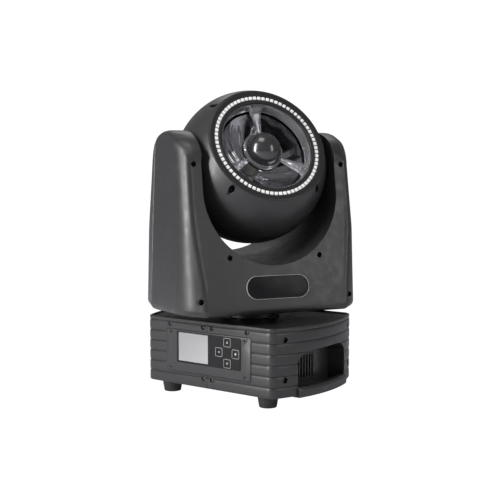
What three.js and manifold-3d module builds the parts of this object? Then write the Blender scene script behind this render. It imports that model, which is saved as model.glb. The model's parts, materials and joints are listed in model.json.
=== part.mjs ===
// Moving head light: a ball-shaped lamp head that tilts in a U-shaped yoke, which pans on a ribbed base.
// Millimetres, +Z up. The origin is the middle of the footprint on the floor; the display faces -Y.
import * as THREE from "three";
import { mergeVertices } from "three/addons/utils/BufferGeometryUtils.js";
import Module from "manifold-3d";

const wasm = await Module();
wasm.setup();

// ---- driving dimensions ----
const GAP = 0.3; // clearance between neighbouring pieces
const WALL = 3; // moulded shell thickness
const BELT_GAP = 0.6; // clearance of a belt's faceted arcs to its pulleys

const PAN_ANGLE = THREE.MathUtils.degToRad(62); // how far the yoke stands turned from the display
const HEAD_PITCH = THREE.MathUtils.degToRad(27.9); // how far the beam points above the horizon

const BASE = { halfY: 89, bottom: 15.7, top: 102, sideRadius: 200, sideBulge: 122, corner: 12 };
const RIBS = { count: 6, first: 28.9, pitch: 13.5, depth: 1.6, halfWidth: 1.8 };
const POCKET = { halfY: 53, top: 71, shoulder: 62, chamferY: 38, wallRadius: 176 };
const HANDLE = { bottom: 13, top: 27, outer: 204, inner: 190 };
const GRILLE = { y0: -46, y1: 6, z0: 29, z1: 61, slots: 9, slot: 2.6 };
const FOOT = { x: 79, y: 66.6, rTop: 13, rBottom: 11 };
const PANEL = { halfX: 69.5, z0: 32.7, z1: 87.5 };
const LCD = { x0: -47.1, x1: 1.9, z0: 47.6, z1: 84.3 };
const OVERLAY = { x0: -50.2, x1: 53.8, z0: 45.2, z1: 85.7 };
const KEYS = { x: 33.3, z: 65.5, offset: 13.3, size: 12 };

const NECK = { radius: 38, shaft: 26, bore: 14 };
const YOKE = { bottom: 113, top: 343.4, archStart: 300, proud: 4.5, wall: 2.6 };
const SEAM = { y: 16, bulge: 2 }; // joint of the yoke shells, behind the middle, where the sides are widest
const U = { halfX: 93, centreZ: 266.5, rise: 0.05, frontY: -84 }; // its floor climbs to the rear
const TILT_Z = 296.4;

const BALL = { radius: 100.4, flatX: 89, frontZ: 60.8, backZ: -88 };
const HEAD_SPLIT_Z = -40; // joint between the two halves of the head shell
const HEAD_VENT = { pitch: 9, half: 2, halfY: 28 };
const AXLE = { radius: 11, bore: 6 };
const RING = { radius: 68.8, width: 5 };
const CENTRE_BALL = { radius: 23, z: 45.8 };
const SCREW = { yokeWell: 3.5, headWell: 3.75, headOffset: 59.2 };
const YOKE_SCREWS = [[103, 300.2], [62.5, 184.6], [103.2, 132.6]]; // x, z of each well on one side

const FRAME = { base: 118, armIn: 97, armOut: 100, halfY: 34, top: 322 };
const BEARING = { inner: AXLE.radius + GAP, outer: 18 };
const PAN_MOTOR_X = 50;
const PAN_PULLEY = { large: 36, small: 9, z0: 75, z1: 85, motorZ: 68.2 };
const TILT_MOTOR_Z = 150;
const TILT_PULLEY = { large: 24, small: 8, x0: 106, x1: 115 };

const BRACKET_PAD = { halfX: 55, halfY: 60, depth: 1.2 }; // truss clamp bracket's seat under the base
const CONNECTOR_Z = 60;
const SOCKET_DEPTH = 12;
const CONNECTORS = [
  { name: "power_inlet", kind: "power", x: -50, material: "blue", radius: 12 },
  { name: "power_outlet", kind: "power", x: -20, material: "grey", radius: 12 },
  { name: "signal_inlet", kind: "pins", x: 10, material: "blackSteel", radius: 11 },
  { name: "signal_outlet", kind: "holes", x: 40, material: "blackSteel", radius: 11 },
  { name: "fuse_holder", kind: "fuse", x: 61, material: "darkPlastic", radius: 5.5 },
];

// ---- solids ----
// A closed three.js geometry as a manifold-3d solid with its faces pointing out.
function solidOf(geometry) {
  const bare = new THREE.BufferGeometry();
  const source = geometry.index ? geometry.toNonIndexed() : geometry;
  bare.setAttribute("position", source.getAttribute("position").clone());
  const merged = mergeVertices(bare, 1e-4);
  const vertProperties = merged.attributes.position.array;
  const index = merged.index.array;
  const corner = (i) => new THREE.Vector3().fromArray(vertProperties, 3 * i);
  const faces = [];
  let volume = 0;
  for (let i = 0; i < index.length; i += 3) {
    const [a, b, c] = [index[i], index[i + 1], index[i + 2]];
    if (a === b || b === c || a === c) continue;
    faces.push([a, b, c]);
    volume += corner(a).dot(corner(b).cross(corner(c)));
  }
  const outward = volume > 0 ? faces : faces.map(([a, b, c]) => [a, c, b]);
  const triVerts = new Uint32Array(outward.flat());
  return new wasm.Manifold(new wasm.Mesh({ numProp: 3, vertProperties, triVerts }));
}

function geometryOf(solid) {
  const mesh = solid.getMesh();
  const geometry = new THREE.BufferGeometry();
  geometry.setAttribute("position", new THREE.BufferAttribute(mesh.vertProperties, 3));
  geometry.setIndex(new THREE.BufferAttribute(mesh.triVerts, 1));
  geometry.computeVertexNormals();
  return geometry;
}

const join = (first, ...others) => others.reduce((whole, piece) => whole.add(piece), first);
const cut = (solid, ...tools) => tools.reduce((left, tool) => left.subtract(tool), solid);
const common = (first, ...others) => others.reduce((left, piece) => left.intersect(piece), first);

function box(x0, x1, y0, y1, z0, z1) {
  const geometry = new THREE.BoxGeometry(x1 - x0, y1 - y0, z1 - z0);
  return solidOf(geometry.translate((x0 + x1) / 2, (y0 + y1) / 2, (z0 + z1) / 2));
}

// A [radius, height] profile turned about the Z, X or Y axis through the point `at`.
function turned(profile, { axis = "z", at = [0, 0, 0], segments = 24 } = {}) {
  const points = profile.map(([r, h]) => new THREE.Vector2(r, h));
  const geometry = new THREE.LatheGeometry(points, segments);
  if (axis === "z") geometry.rotateX(Math.PI / 2);
  if (axis === "x") geometry.rotateZ(-Math.PI / 2);
  return solidOf(geometry.translate(...at));
}

const disc = (radius, h0, h1, placing) =>
  turned([[0, h0], [radius, h0], [radius, h1], [0, h1]], placing);
const tube = (inner, outer, h0, h1, placing) =>
  turned([[inner, h0], [outer, h0], [outer, h1], [inner, h1], [inner, h0]], placing);

function extruded(shape, depth, curveSegments = 1) {
  return new THREE.ExtrudeGeometry(shape, { depth, bevelEnabled: false, curveSegments });
}

// Shapes drawn in XY, XZ and YZ, extruded along the axis that is left.
const slabZ = (shape, z0, z1, curve) =>
  solidOf(extruded(shape, z1 - z0, curve).translate(0, 0, z0));
const slabY = (shape, y0, y1, curve) =>
  solidOf(extruded(shape, y1 - y0, curve).rotateX(Math.PI / 2).translate(0, y1, 0));
function slabX(shape, x0, x1, curve) {
  const turn = new THREE.Matrix4().makeBasis(
    new THREE.Vector3(0, 1, 0),
    new THREE.Vector3(0, 0, 1),
    new THREE.Vector3(1, 0, 0),
  );
  return solidOf(extruded(shape, x1 - x0, curve).applyMatrix4(turn).translate(x0, 0, 0));
}

// A closed body through horizontal outlines that all have the same number of points.
function loft(sections) {
  const count = sections[0].points.length;
  const positions = sections.flatMap(({ z, points }) => points.flatMap((p) => [p.x, p.y, z]));
  const index = [];
  const last = (sections.length - 1) * count;
  for (const [a, b, c] of THREE.ShapeUtils.triangulateShape(sections[0].points, [])) {
    index.push(a, c, b);
  }
  for (const [a, b, c] of THREE.ShapeUtils.triangulateShape(sections.at(-1).points, [])) {
    index.push(last + a, last + b, last + c);
  }
  for (let s = 0; s < sections.length - 1; s += 1) {
    for (let i = 0; i < count; i += 1) {
      const [a, b] = [s * count + i, s * count + ((i + 1) % count)];
      index.push(a, b, b + count, a, b + count, a + count);
    }
  }
  const geometry = new THREE.BufferGeometry();
  geometry.setAttribute("position", new THREE.Float32BufferAttribute(positions, 3));
  geometry.setIndex(index);
  return solidOf(geometry);
}

function roundedRect(x0, x1, y0, y1, r) {
  const shape = new THREE.Shape();
  shape.absarc(x1 - r, y0 + r, r, -Math.PI / 2, 0, false);
  shape.absarc(x1 - r, y1 - r, r, 0, Math.PI / 2, false);
  shape.absarc(x0 + r, y1 - r, r, Math.PI / 2, Math.PI, false);
  shape.absarc(x0 + r, y0 + r, r, Math.PI, 1.5 * Math.PI, false);
  return shape;
}

// An open belt round a large pulley at the origin and a small one at (span, 0).
function beltShape(large, small, span, thickness = 1.4) {
  const loop = (path, extra) => {
    const lean = Math.acos((large - small) / span);
    path.absarc(0, 0, large + extra, lean, 2 * Math.PI - lean, false);
    path.absarc(span, 0, small + extra, -lean, lean, false);
    path.closePath();
    return path;
  };
  const shape = loop(new THREE.Shape(), BELT_GAP + thickness);
  shape.holes.push(loop(new THREE.Path(), BELT_GAP));
  return shape;
}

const mirrored = (solid) => solid.mirror([1, 0, 0]);

// ---- nodes ----
const MATERIALS = {
  plastic: { color: 0x2b2b2d, roughness: 0.45, metalness: 0 },
  darkPlastic: { color: 0x141415, roughness: 0.5, metalness: 0 },
  gloss: { color: 0x08080a, roughness: 0.12, metalness: 0 },
  rubber: { color: 0x19191a, roughness: 0.85, metalness: 0 },
  steel: { color: 0x9a9da1, roughness: 0.35, metalness: 1 },
  blackSteel: { color: 0x1d1e20, roughness: 0.5, metalness: 0.6 },
  aluminium: { color: 0xb9bcc0, roughness: 0.3, metalness: 1 },
  mirror: { color: 0xe6e8ea, roughness: 0.05, metalness: 1 },
  clear: { color: 0xf2f5f6, roughness: 0.06, metalness: 0 },
  lightGuide: { color: 0xf4f4f0, roughness: 0.3, metalness: 0 },
  board: { color: 0x14452a, roughness: 0.5, metalness: 0 },
  screen: { color: 0xc4c7c8, roughness: 0.2, metalness: 0 },
  motor: { color: 0x34363a, roughness: 0.4, metalness: 0.7 },
  blue: { color: 0x27498f, roughness: 0.45, metalness: 0 },
  grey: { color: 0x8b8f93, roughness: 0.45, metalness: 0 },
};

function addNode(group, name, material, solid) {
  const mesh = new THREE.Mesh(
    geometryOf(solid),
    new THREE.MeshStandardMaterial(MATERIALS[material]),
  );
  mesh.name = name;
  group.add(mesh);
}

// ---- base casing ----
// Half outline from the front corner to the rear corner on the +X side, moved in by `inset`.
function sideOutline(inset, cornerSteps = 3, sideSteps = 8) {
  const sideCentreX = BASE.sideBulge - BASE.sideRadius;
  const cornerY = BASE.halfY - BASE.corner;
  const reach = BASE.sideRadius - BASE.corner;
  const cornerX = sideCentreX + Math.sqrt(reach ** 2 - cornerY ** 2);
  const turn = Math.asin(cornerY / reach);
  const cornerRadius = BASE.corner - inset;
  const points = [];
  for (let i = 0; i <= cornerSteps; i += 1) {
    const angle = -Math.PI / 2 + ((Math.PI / 2 - turn) * i) / cornerSteps;
    points.push([cornerX + cornerRadius * Math.cos(angle), -cornerY + cornerRadius * Math.sin(angle)]);
  }
  for (let i = 1; i < sideSteps; i += 1) {
    const angle = -turn + (2 * turn * i) / sideSteps;
    const radius = BASE.sideRadius - inset;
    points.push([sideCentreX + radius * Math.cos(angle), radius * Math.sin(angle)]);
  }
  const rear = points.slice(0, cornerSteps + 1).reverse();
  return [...points, ...rear.map(([x, y]) => [x, -y])];
}

function baseOutline(inset) {
  const right = sideOutline(inset);
  const left = right.map(([x, y]) => [-x, -y]);
  return [...right, ...left].map(([x, y]) => new THREE.Vector2(x, y));
}

const baseSlab = (inset, z0, z1) =>
  loft([z0, z1].map((z) => ({ z, points: baseOutline(inset) })));

// The outer skin bulges between horizontal grooves, like a bellows.
function ribbedBlock() {
  const levels = [{ z: BASE.bottom, inset: 1.5 }, { z: BASE.bottom + 2, inset: 0 }];
  for (let i = 0; i < RIBS.count; i += 1) {
    const z = RIBS.first + i * RIBS.pitch;
    levels.push({ z: z - RIBS.halfWidth, inset: 0 });
    levels.push({ z, inset: RIBS.depth });
    levels.push({ z: z + RIBS.halfWidth, inset: 0 });
  }
  levels.push({ z: BASE.top - 2, inset: 0 }, { z: BASE.top, inset: 2 });
  return loft(levels.map(({ z, inset }) => ({ z, points: baseOutline(inset) })));
}

const SIDE_CENTRE_X = BASE.sideBulge - BASE.sideRadius;
const sideDisc = (radius, z0, z1) =>
  disc(radius, z0, z1, { at: [SIDE_CENTRE_X, 0, 0], segments: 96 });

// The hand pocket on the +X side, grown by `extra` on every wall and open below.
function pocketSpace(extra) {
  const side = POCKET.halfY + extra;
  const shape = new THREE.Shape();
  shape.moveTo(-side, 0);
  shape.lineTo(side, 0);
  shape.lineTo(side, POCKET.shoulder + extra);
  shape.lineTo(POCKET.chamferY + extra, POCKET.top + extra);
  shape.lineTo(-POCKET.chamferY - extra, POCKET.top + extra);
  shape.lineTo(-side, POCKET.shoulder + extra);
  return cut(slabX(shape, 60, 140), sideDisc(POCKET.wallRadius - extra, -1, 90));
}

function grilleWindow(extra) {
  return box(80, 110, GRILLE.y0 - extra, GRILLE.y1 + extra, GRILLE.z0 - extra, GRILLE.z1 + extra);
}

const panelWindow = (extra) =>
  roundedRect(-PANEL.halfX - extra, PANEL.halfX + extra, PANEL.z0 - extra, PANEL.z1 + extra, 3);

function baseShellRight() {
  const cavity = cut(baseSlab(WALL, BASE.bottom - 1, BASE.top + 1), pocketSpace(WALL));
  const shell = cut(ribbedBlock(), cavity, pocketSpace(0), grilleWindow(GAP));
  const windows = slabY(panelWindow(GAP), -100, 100);
  return common(cut(shell, windows), box(GAP / 2, 200, -100, 100, 0, 120));
}

function ventGrille() {
  const wall = cut(sideDisc(POCKET.wallRadius, 0, 90), sideDisc(POCKET.wallRadius - WALL, -1, 91));
  let grille = common(wall, grilleWindow(0));
  const pitch = (GRILLE.y1 - GRILLE.y0) / GRILLE.slots;
  for (let i = 0; i < GRILLE.slots; i += 1) {
    const y = GRILLE.y0 + (i + 0.5) * pitch;
    const half = GRILLE.slot / 2;
    grille = cut(grille, box(80, 110, y - half, y + half, GRILLE.z0 + 2, GRILLE.z1 - 2));
  }
  return grille;
}

function handle() {
  const halfY = POCKET.halfY - 0.6;
  const ring = cut(
    sideDisc(HANDLE.outer, HANDLE.bottom, HANDLE.top),
    sideDisc(HANDLE.inner, HANDLE.bottom - 1, HANDLE.top + 1),
  );
  const bar = common(ring, box(60, 140, -halfY, halfY, 0, 100));
  const tab = (y0, y1) => box(88, 113, y0, y1, HANDLE.bottom, BASE.bottom - GAP);
  return join(bar, tab(-halfY, -halfY + 14), tab(halfY - 14, halfY));
}

// Steel plate with a pressed seat for the truss clamp bracket.
function bottomPlate() {
  const { halfX, halfY, depth } = BRACKET_PAD;
  const pad = box(-halfX, halfX, -halfY, halfY, BASE.bottom - depth, BASE.bottom + 1);
  const plate = join(baseSlab(WALL + 0.4, BASE.bottom, BASE.bottom + 3), pad);
  return cut(plate, pocketSpace(WALL + GAP), mirrored(pocketSpace(WALL + GAP)));
}

function topCover() {
  return cut(baseSlab(WALL + 0.4, 97, 100), disc(NECK.radius + 1.5, 96, 101));
}

function foot(x, y) {
  const top = BASE.bottom - GAP;
  const profile = [[0, 0], [FOOT.rBottom, 0], [FOOT.rTop, top - 3], [FOOT.rTop, top], [0, top]];
  return turned(profile, { at: [x, y, 0], segments: 16 });
}

// ---- display and connectors ----
const keySquare = (x, z, extra) => {
  const half = KEYS.size / 2 + extra;
  return roundedRect(x - half, x + half, z - half, z + half, 2.2);
};

const KEY_PLACES = {
  key_up: [KEYS.x, KEYS.z + KEYS.offset],
  key_down: [KEYS.x, KEYS.z - KEYS.offset],
  key_back: [KEYS.x - KEYS.offset, KEYS.z],
  key_enter: [KEYS.x + KEYS.offset, KEYS.z],
};

function frontWindows(extra) {
  const lcd = roundedRect(LCD.x0 - extra, LCD.x1 + extra, LCD.z0 - extra, LCD.z1 + extra, 0.5);
  const keys = Object.values(KEY_PLACES).map(([x, z]) => keySquare(x, z, extra));
  return [lcd, ...keys].map((shape) => slabY(shape, -100, -70));
}

function displayPanel() {
  const y0 = -BASE.halfY - 0.6;
  return cut(slabY(panelWindow(0), y0, y0 + 3), ...frontWindows(GAP));
}

function displayOverlay() {
  const y1 = -BASE.halfY - 0.6 - GAP;
  const sheet = roundedRect(OVERLAY.x0, OVERLAY.x1, OVERLAY.z0, OVERLAY.z1, 1);
  return cut(slabY(sheet, y1 - 0.6, y1), ...frontWindows(GAP));
}

const lcdScreen = () => box(LCD.x0, LCD.x1, -BASE.halfY - 1.3, -84, LCD.z0, LCD.z1);
const keyCap = ([x, z]) => slabY(keySquare(x, z, 0), -BASE.halfY - 1.8, -84.5);

function rearPanel() {
  const y1 = BASE.halfY + 0.6;
  const holes = CONNECTORS.map(({ x, radius }) =>
    disc(radius + GAP, 70, 100, { axis: "y", at: [x, 0, CONNECTOR_Z], segments: 16 }),
  );
  return cut(slabY(panelWindow(0), y1 - 3, y1), ...holes);
}

// A square flange outside the panel, with a barrel through it that holds the socket.
function connector({ kind, x, radius }) {
  const face = BASE.halfY + 0.6 + GAP;
  const place = { axis: "y", at: [x, 0, CONNECTOR_Z], segments: 16 };
  const barrel = disc(radius, face - 20, face, place);
  if (kind === "fuse") return join(disc(7, face, face + 4, place), barrel);
  const flange = roundedRect(x - 13, x + 13, CONNECTOR_Z - 15.5, CONNECTOR_Z + 15.5, 2);
  const body = join(slabY(flange, face, face + 2.5), barrel);
  const well = disc(radius - 2, face - SOCKET_DEPTH, face + 5, place);
  if (kind === "power") return join(cut(body, well), disc(3, face - 13, face, place));
  const contacts = (r, y0, y1) =>
    [45, 135, 270].map((degrees) => {
      const angle = THREE.MathUtils.degToRad(degrees);
      const at = [x + 5.2 * Math.cos(angle), 0, CONNECTOR_Z + 5.2 * Math.sin(angle)];
      return disc(r, y0, y1, { axis: "y", at, segments: 8 });
    });
  if (kind === "holes") return cut(body, ...contacts(1.6, face - 10, face + 5));
  return join(cut(body, well), ...contacts(1.1, face - 13, face - 2));
}

// ---- inside the base ----
// A folded steel bridge over the supply carries the bearing, with a shelf for the pan motor.
function panBridge() {
  const top = cut(box(-72, 75, -55, 55, 88, 91), disc(NECK.shaft + 1, 87, 92));
  const wall = box(72, 75, -55, 55, 19.6, 90);
  const farWall = box(-72, -69, -55, 55, 19.6, 90);
  const shelf = cut(box(26, 74, -24, 24, 68.5, 71), disc(11.5, 68, 72, { at: [PAN_MOTOR_X, 0, 0] }));
  return join(top, wall, farWall, shelf);
}

// A belt pulley with one flange.
function pulley(radius, bore, h0, h1, placing) {
  const rim = radius - 0.1;
  const flange = radius + 2.5;
  const profile = [
    [bore, h0],
    [flange, h0],
    [flange, h0 + 1.2],
    [rim, h0 + 1.2],
    [rim, h1],
    [bore, h1],
    [bore, h0],
  ];
  return turned(profile, placing);
}

// A stepper motor seen along its shaft axis, with the shaft hole in its boss.
function stepper(top, length) {
  const body = slabZ(roundedRect(-21, 21, -21, 21, 4), top - length, top);
  return cut(join(body, disc(11, top - 1, top + 2)), disc(2.9, top - 12, top + 5, { segments: 12 }));
}

// A small pulley with its motor shaft.
function shaftPulley(radius, top, h0, h1) {
  const shaft = disc(2.5, top - 10, h1, { segments: 12 });
  return join(pulley(radius, 2, h0, h1, { segments: 12 }), shaft);
}

// ---- yoke ----
// Half depth of the yoke's flat front face at a height: it leans back, then arches over the arms.
function faceDepth(z) {
  const lean = 89.9 - 0.16 * (Math.min(z, YOKE.archStart) - 110.4);
  const rise = Math.max(0, z - YOKE.archStart) / (YOKE.top - YOKE.archStart);
  return lean * Math.sqrt(Math.max(0, 1 - rise ** 2));
}

// Half width at the middle: drafted sides with rounded shoulders.
function seamWidth(z) {
  const side = 131.5 - 0.0285 * (Math.min(z, 310) - 113);
  const shoulder = 18;
  const over = z - (YOKE.top - shoulder);
  return over > 0 ? side - shoulder + Math.sqrt(shoulder ** 2 - over ** 2) : side;
}

// One horizontal section: drafted sides that meet at the seam and join the faces by fillets.
function yokeSection(z, halfX, halfY, fillet, steps = 5) {
  const lean = THREE.MathUtils.degToRad(7);
  const r = Math.min(fillet, 0.75 * halfY);
  const cornerY = halfY - r;
  const cornerX = halfX - cornerY * Math.tan(lean) - r / Math.cos(lean);
  const corner = [];
  for (let i = 0; i <= steps; i += 1) {
    const angle = lean + ((Math.PI / 2 - lean) * i) / steps;
    corner.push([cornerX + r * Math.cos(angle), cornerY + r * Math.sin(angle)]);
  }
  const back = [...corner].reverse();
  const seam = [halfX + SEAM.bulge, Math.min(SEAM.y, 0.25 * halfY)];
  const points = [
    seam,
    ...corner,
    ...back.map(([x, y]) => [-x, y]),
    [-seam[0], seam[1]],
    ...corner.map(([x, y]) => [-x, -y]),
    ...back.map(([x, y]) => [x, -y]),
  ];
  return { z, points: points.map(([x, y]) => new THREE.Vector2(x, y)) };
}

const cornerFillet = (z) => THREE.MathUtils.mapLinear(Math.min(z, 220), 113, 220, 52, 28);

function yokeBlock() {
  const foot = [[0, 7], [3, 3], [8, 0.6], [14, 0]].map(([rise, inset]) => [YOKE.bottom + rise, inset]);
  const arms = [160, 215, 260, 300, 318, 329, 337, 341.5, 343].map((z) => [z, 0]);
  const sections = [...foot, ...arms].map(([z, inset]) =>
    yokeSection(z, seamWidth(z) - inset, faceDepth(z) + YOKE.proud - inset, cornerFillet(z)),
  );
  return loft(sections);
}

function yokeCavity() {
  const levels = [YOKE.bottom + YOKE.wall, 160, 215, 260, 300, 318, 329, 337];
  return loft(
    levels.map((z) =>
      yokeSection(z, seamWidth(z) - YOKE.wall - 1, faceDepth(z) - YOKE.wall, cornerFillet(z)),
    ),
  );
}

// The U-shaped opening between the arms, grown by `extra`.
function armOpening(extra) {
  const shape = new THREE.Shape();
  const r = U.halfX + extra;
  shape.moveTo(r, YOKE.top + 30);
  shape.lineTo(-r, YOKE.top + 30);
  shape.absarc(0, U.centreZ, r, Math.PI, 2 * Math.PI, false);
  shape.lineTo(r, YOKE.top + 30);
  return sheared(extruded(shape, 240, 11).rotateX(Math.PI / 2).translate(0, 120, 0));
}

// Lifts a geometry in step with its distance behind the front face.
function sheared(geometry) {
  const place = geometry.getAttribute("position");
  for (let i = 0; i < place.count; i += 1) {
    place.setZ(i, place.getZ(i) + U.rise * (place.getY(i) - U.frontY));
  }
  return solidOf(geometry);
}

// Space in front of the flat face, inside the raised frame that runs up both arms.
function faceRecess() {
  const shape = new THREE.Shape();
  shape.moveTo(-94, 100);
  shape.lineTo(94, 100);
  shape.lineTo(94, 150);
  shape.quadraticCurveTo(97.5, 195, 104, 250);
  shape.lineTo(104, 312);
  shape.lineTo(-104, 312);
  shape.lineTo(-104, 250);
  shape.quadraticCurveTo(-97.5, 195, -94, 150);
  const geometry = extruded(shape, 60, 4).rotateX(Math.PI / 2);
  const place = geometry.getAttribute("position");
  for (let i = 0; i < place.count; i += 1) {
    const face = -faceDepth(Math.min(place.getZ(i), YOKE.archStart));
    place.setY(i, place.getY(i) + face);
  }
  return solidOf(geometry);
}

function yokeShells() {
  const cavity = cut(yokeCavity(), armOpening(YOKE.wall));
  const recess = faceRecess();
  const shell = cut(yokeBlock(), armOpening(0), cavity, recess, recess.rotate([0, 0, 180]));
  const axleHole = disc(AXLE.radius + 1, -120, 120, { axis: "x", at: [0, 0, TILT_Z], segments: 24 });
  const innerAxleHole = common(axleHole, box(-105, 105, -20, 20, 280, 310));
  const neckHole = disc(NECK.radius + 1, 100, 130);
  const wells = YOKE_SCREWS.flatMap(([x, z]) =>
    [[-120, -40], [40, 120]].map(([y0, y1]) =>
      disc(SCREW.yokeWell, y0, y1, { axis: "y", at: [x, 0, z], segments: 10 }),
    ),
  );
  const whole = cut(shell, innerAxleHole, neckHole, ...wells, ...wells.map(mirrored));
  return {
    front: common(whole, box(-200, 200, -200, SEAM.y - GAP / 2, 0, 400)),
    rear: common(whole, box(-200, 200, SEAM.y + GAP / 2, 200, 0, 400)),
  };
}

// Steel U: a floor on the pan shaft and two upright plates that carry the tilt bearings.
function yokeFrame() {
  const floor = box(-FRAME.armOut, FRAME.armOut, -FRAME.halfY, FRAME.halfY, FRAME.base, FRAME.base + 3);
  const arm = box(FRAME.armIn, FRAME.armOut, -FRAME.halfY, FRAME.halfY, FRAME.base, FRAME.top);
  const bearingBore = disc(BEARING.outer + GAP, -120, 120, { axis: "x", at: [0, 0, TILT_Z] });
  const shaftBore = disc(13, 80, 120, { axis: "x", at: [0, 0, TILT_MOTOR_Z], segments: 20 });
  const cableBore = disc(NECK.bore, 110, 130);
  return cut(join(floor, arm, mirrored(arm)), bearingBore, shaftBore, cableBore);
}

function panShaft() {
  return turned([
    [NECK.bore, 70],
    [NECK.shaft, 70],
    [NECK.shaft, 101],
    [NECK.radius, 101],
    [NECK.radius, FRAME.base - GAP],
    [NECK.bore, FRAME.base - GAP],
    [NECK.bore, 70],
  ]);
}

function badge() {
  const shape = roundedRect(-43.3, 43.3, 0, 29.5, 14);
  const plate = extruded(shape, 1.5, 2).rotateX(Math.PI / 2 - Math.atan(0.16));
  return solidOf(plate.translate(0, -faceDepth(132) - GAP, 132));
}

// ---- head, in its own frame: +Z is the beam, X the tilt axis ----
// Half circle for turning into a ball, from pole to pole.
function sphereArc(radius, steps) {
  const arc = [];
  for (let i = 0; i <= steps; i += 1) {
    const angle = -Math.PI / 2 + (Math.PI * i) / steps;
    arc.push([i % steps === 0 ? 0 : radius * Math.cos(angle), radius * Math.sin(angle)]);
  }
  return arc;
}

function ball(radius, flatX, z0, z1) {
  const whole = turned(sphereArc(radius, 12), { segments: 32 });
  return common(whole, box(-flatX, flatX, -radius, radius, z0, z1));
}

function headShells() {
  const skin = cut(
    ball(BALL.radius, BALL.flatX, BALL.backZ, BALL.frontZ),
    ball(BALL.radius - WALL, BALL.flatX - WALL, BALL.backZ + WALL, BALL.frontZ + 5),
    disc(AXLE.radius + 0.8, -120, 120, { axis: "x", segments: 20 }),
  );
  const { pitch, half, halfY } = HEAD_VENT;
  const slots = [-3, -2, -1, 0, 1, 2, 3].map((i) =>
    box(pitch * i - half, pitch * i + half, -halfY, halfY, -100, -70),
  );
  const wells = [-1, 1].flatMap((sx) =>
    [-1, 1].map((sy) =>
      disc(SCREW.headWell, 44, 70, {
        at: [sx * SCREW.headOffset, sy * SCREW.headOffset, 0],
        segments: 10,
      }),
    ),
  );
  return {
    front: cut(common(skin, box(-120, 120, -120, 120, HEAD_SPLIT_Z + GAP / 2, 120)), ...wells),
    rear: cut(common(skin, box(-120, 120, -120, 120, -120, HEAD_SPLIT_Z - GAP / 2)), ...slots),
  };
}

// Front ring with a groove for the ring of lights.
function bezelRing() {
  const grooveIn = RING.radius - RING.width / 2 - GAP;
  const grooveOut = RING.radius + RING.width / 2 + GAP;
  const profile = [
    [61.5, 56],
    [74.5, 56],
    [74.5, 61.4],
    [grooveOut, 61.4],
    [grooveOut, 59],
    [grooveIn, 59],
    [grooveIn, 61.4],
    [61.5, 61.4],
    [61.5, 56],
  ];
  return turned(profile, { segments: 32 });
}

const lightRing = () =>
  tube(RING.radius - RING.width / 2, RING.radius + RING.width / 2, 59.3, 61.6, { segments: 32 });

// Clear moulding: an outer ring, three spokes and a hub ring round the centre ball.
function lensSpider() {
  const hub = tube(CENTRE_BALL.radius + 0.4, 26, 44, 48, { segments: 20 });
  const rim = tube(57, 61, 44, 58, { segments: 30 });
  let spider = join(hub, rim);
  for (let i = 0; i < 3; i += 1) {
    spider = join(spider, box(-2.5, 2.5, 25, 58, 44, 52).rotate([0, 0, 120 * i]));
  }
  return spider;
}

const centreBall = () =>
  turned(sphereArc(CENTRE_BALL.radius, 8), { at: [0, 0, CENTRE_BALL.z], segments: 16 });

// Parabolic bowl from the light source out to the front ring.
function reflector() {
  const vertex = { r: 13, z: -3 };
  const rim = { r: 55, z: 43 };
  const focal4 = (rim.r ** 2 - vertex.r ** 2) / (rim.z - vertex.z);
  const inner = [0, 0.2, 0.5, 1].map((t) => {
    const z = vertex.z + t * (rim.z - vertex.z);
    return [Math.sqrt(vertex.r ** 2 + focal4 * (z - vertex.z)), z];
  });
  const outer = inner.map(([r, z]) => [r + 1.2, z - 1]).reverse();
  return turned([...inner, ...outer, inner[0]]);
}

// Steel cross plate with two side cheeks that the axles bolt to.
function headChassis() {
  const plate = cut(box(-80, 80, -40, 40, -14, -11), disc(32, -15, -10));
  const cheek = cut(
    box(77, 80, -24, 24, -14, 20),
    disc(AXLE.bore, 70, 90, { axis: "x", segments: 20 }),
  );
  return join(plate, cheek, mirrored(cheek));
}

function axle() {
  const profile = [[AXLE.bore, 80.3], [19, 80.3], [19, 83.5], [AXLE.radius, 83.5], [AXLE.radius, 116]];
  return turned([...profile, [AXLE.bore, 116], [AXLE.bore, 80.3]], { axis: "x", segments: 20 });
}

function heatsink() {
  const shape = new THREE.Shape();
  const fins = 9;
  const pitch = 8.6;
  const half = 1.2;
  const reach = ((fins - 1) / 2) * pitch + half;
  shape.moveTo(reach, -16);
  shape.lineTo(-reach, -16);
  for (let i = 0; i < fins; i += 1) {
    const x = -reach + half + i * pitch;
    if (i > 0) shape.lineTo(x - half, -22);
    shape.lineTo(x - half, -58);
    shape.lineTo(x + half, -58);
    if (i < fins - 1) shape.lineTo(x + half, -22);
  }
  return join(slabY(shape, -36, 36), disc(30, -17, -8));
}

const ledEngine = () => join(box(-15, 15, -15, 15, -7.7, -6), disc(9, -6.5, -3.5, { segments: 20 }));

function fanFrame() {
  const square = slabZ(roundedRect(-35, 35, -35, 35, 4), -79, -66);
  const ring = cut(square, disc(32.5, -90, -60));
  const strut = box(-33, 33, -1.5, 1.5, -79, -77);
  return join(ring, disc(14, -79, -77, { segments: 24 }), strut, strut.rotate([0, 0, 90]));
}

function fanRotor() {
  let rotor = disc(13, -76.5, -67, { segments: 24 });
  const blades = 7;
  for (let i = 0; i < blades; i += 1) {
    const blade = box(11, 31, -0.8, 0.8, -5, 3.6).rotate([38, 0, 0]).translate([0, 0, -71.5]);
    rotor = join(rotor, blade.rotate([0, 0, (360 / blades) * i]));
  }
  return rotor;
}

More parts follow.
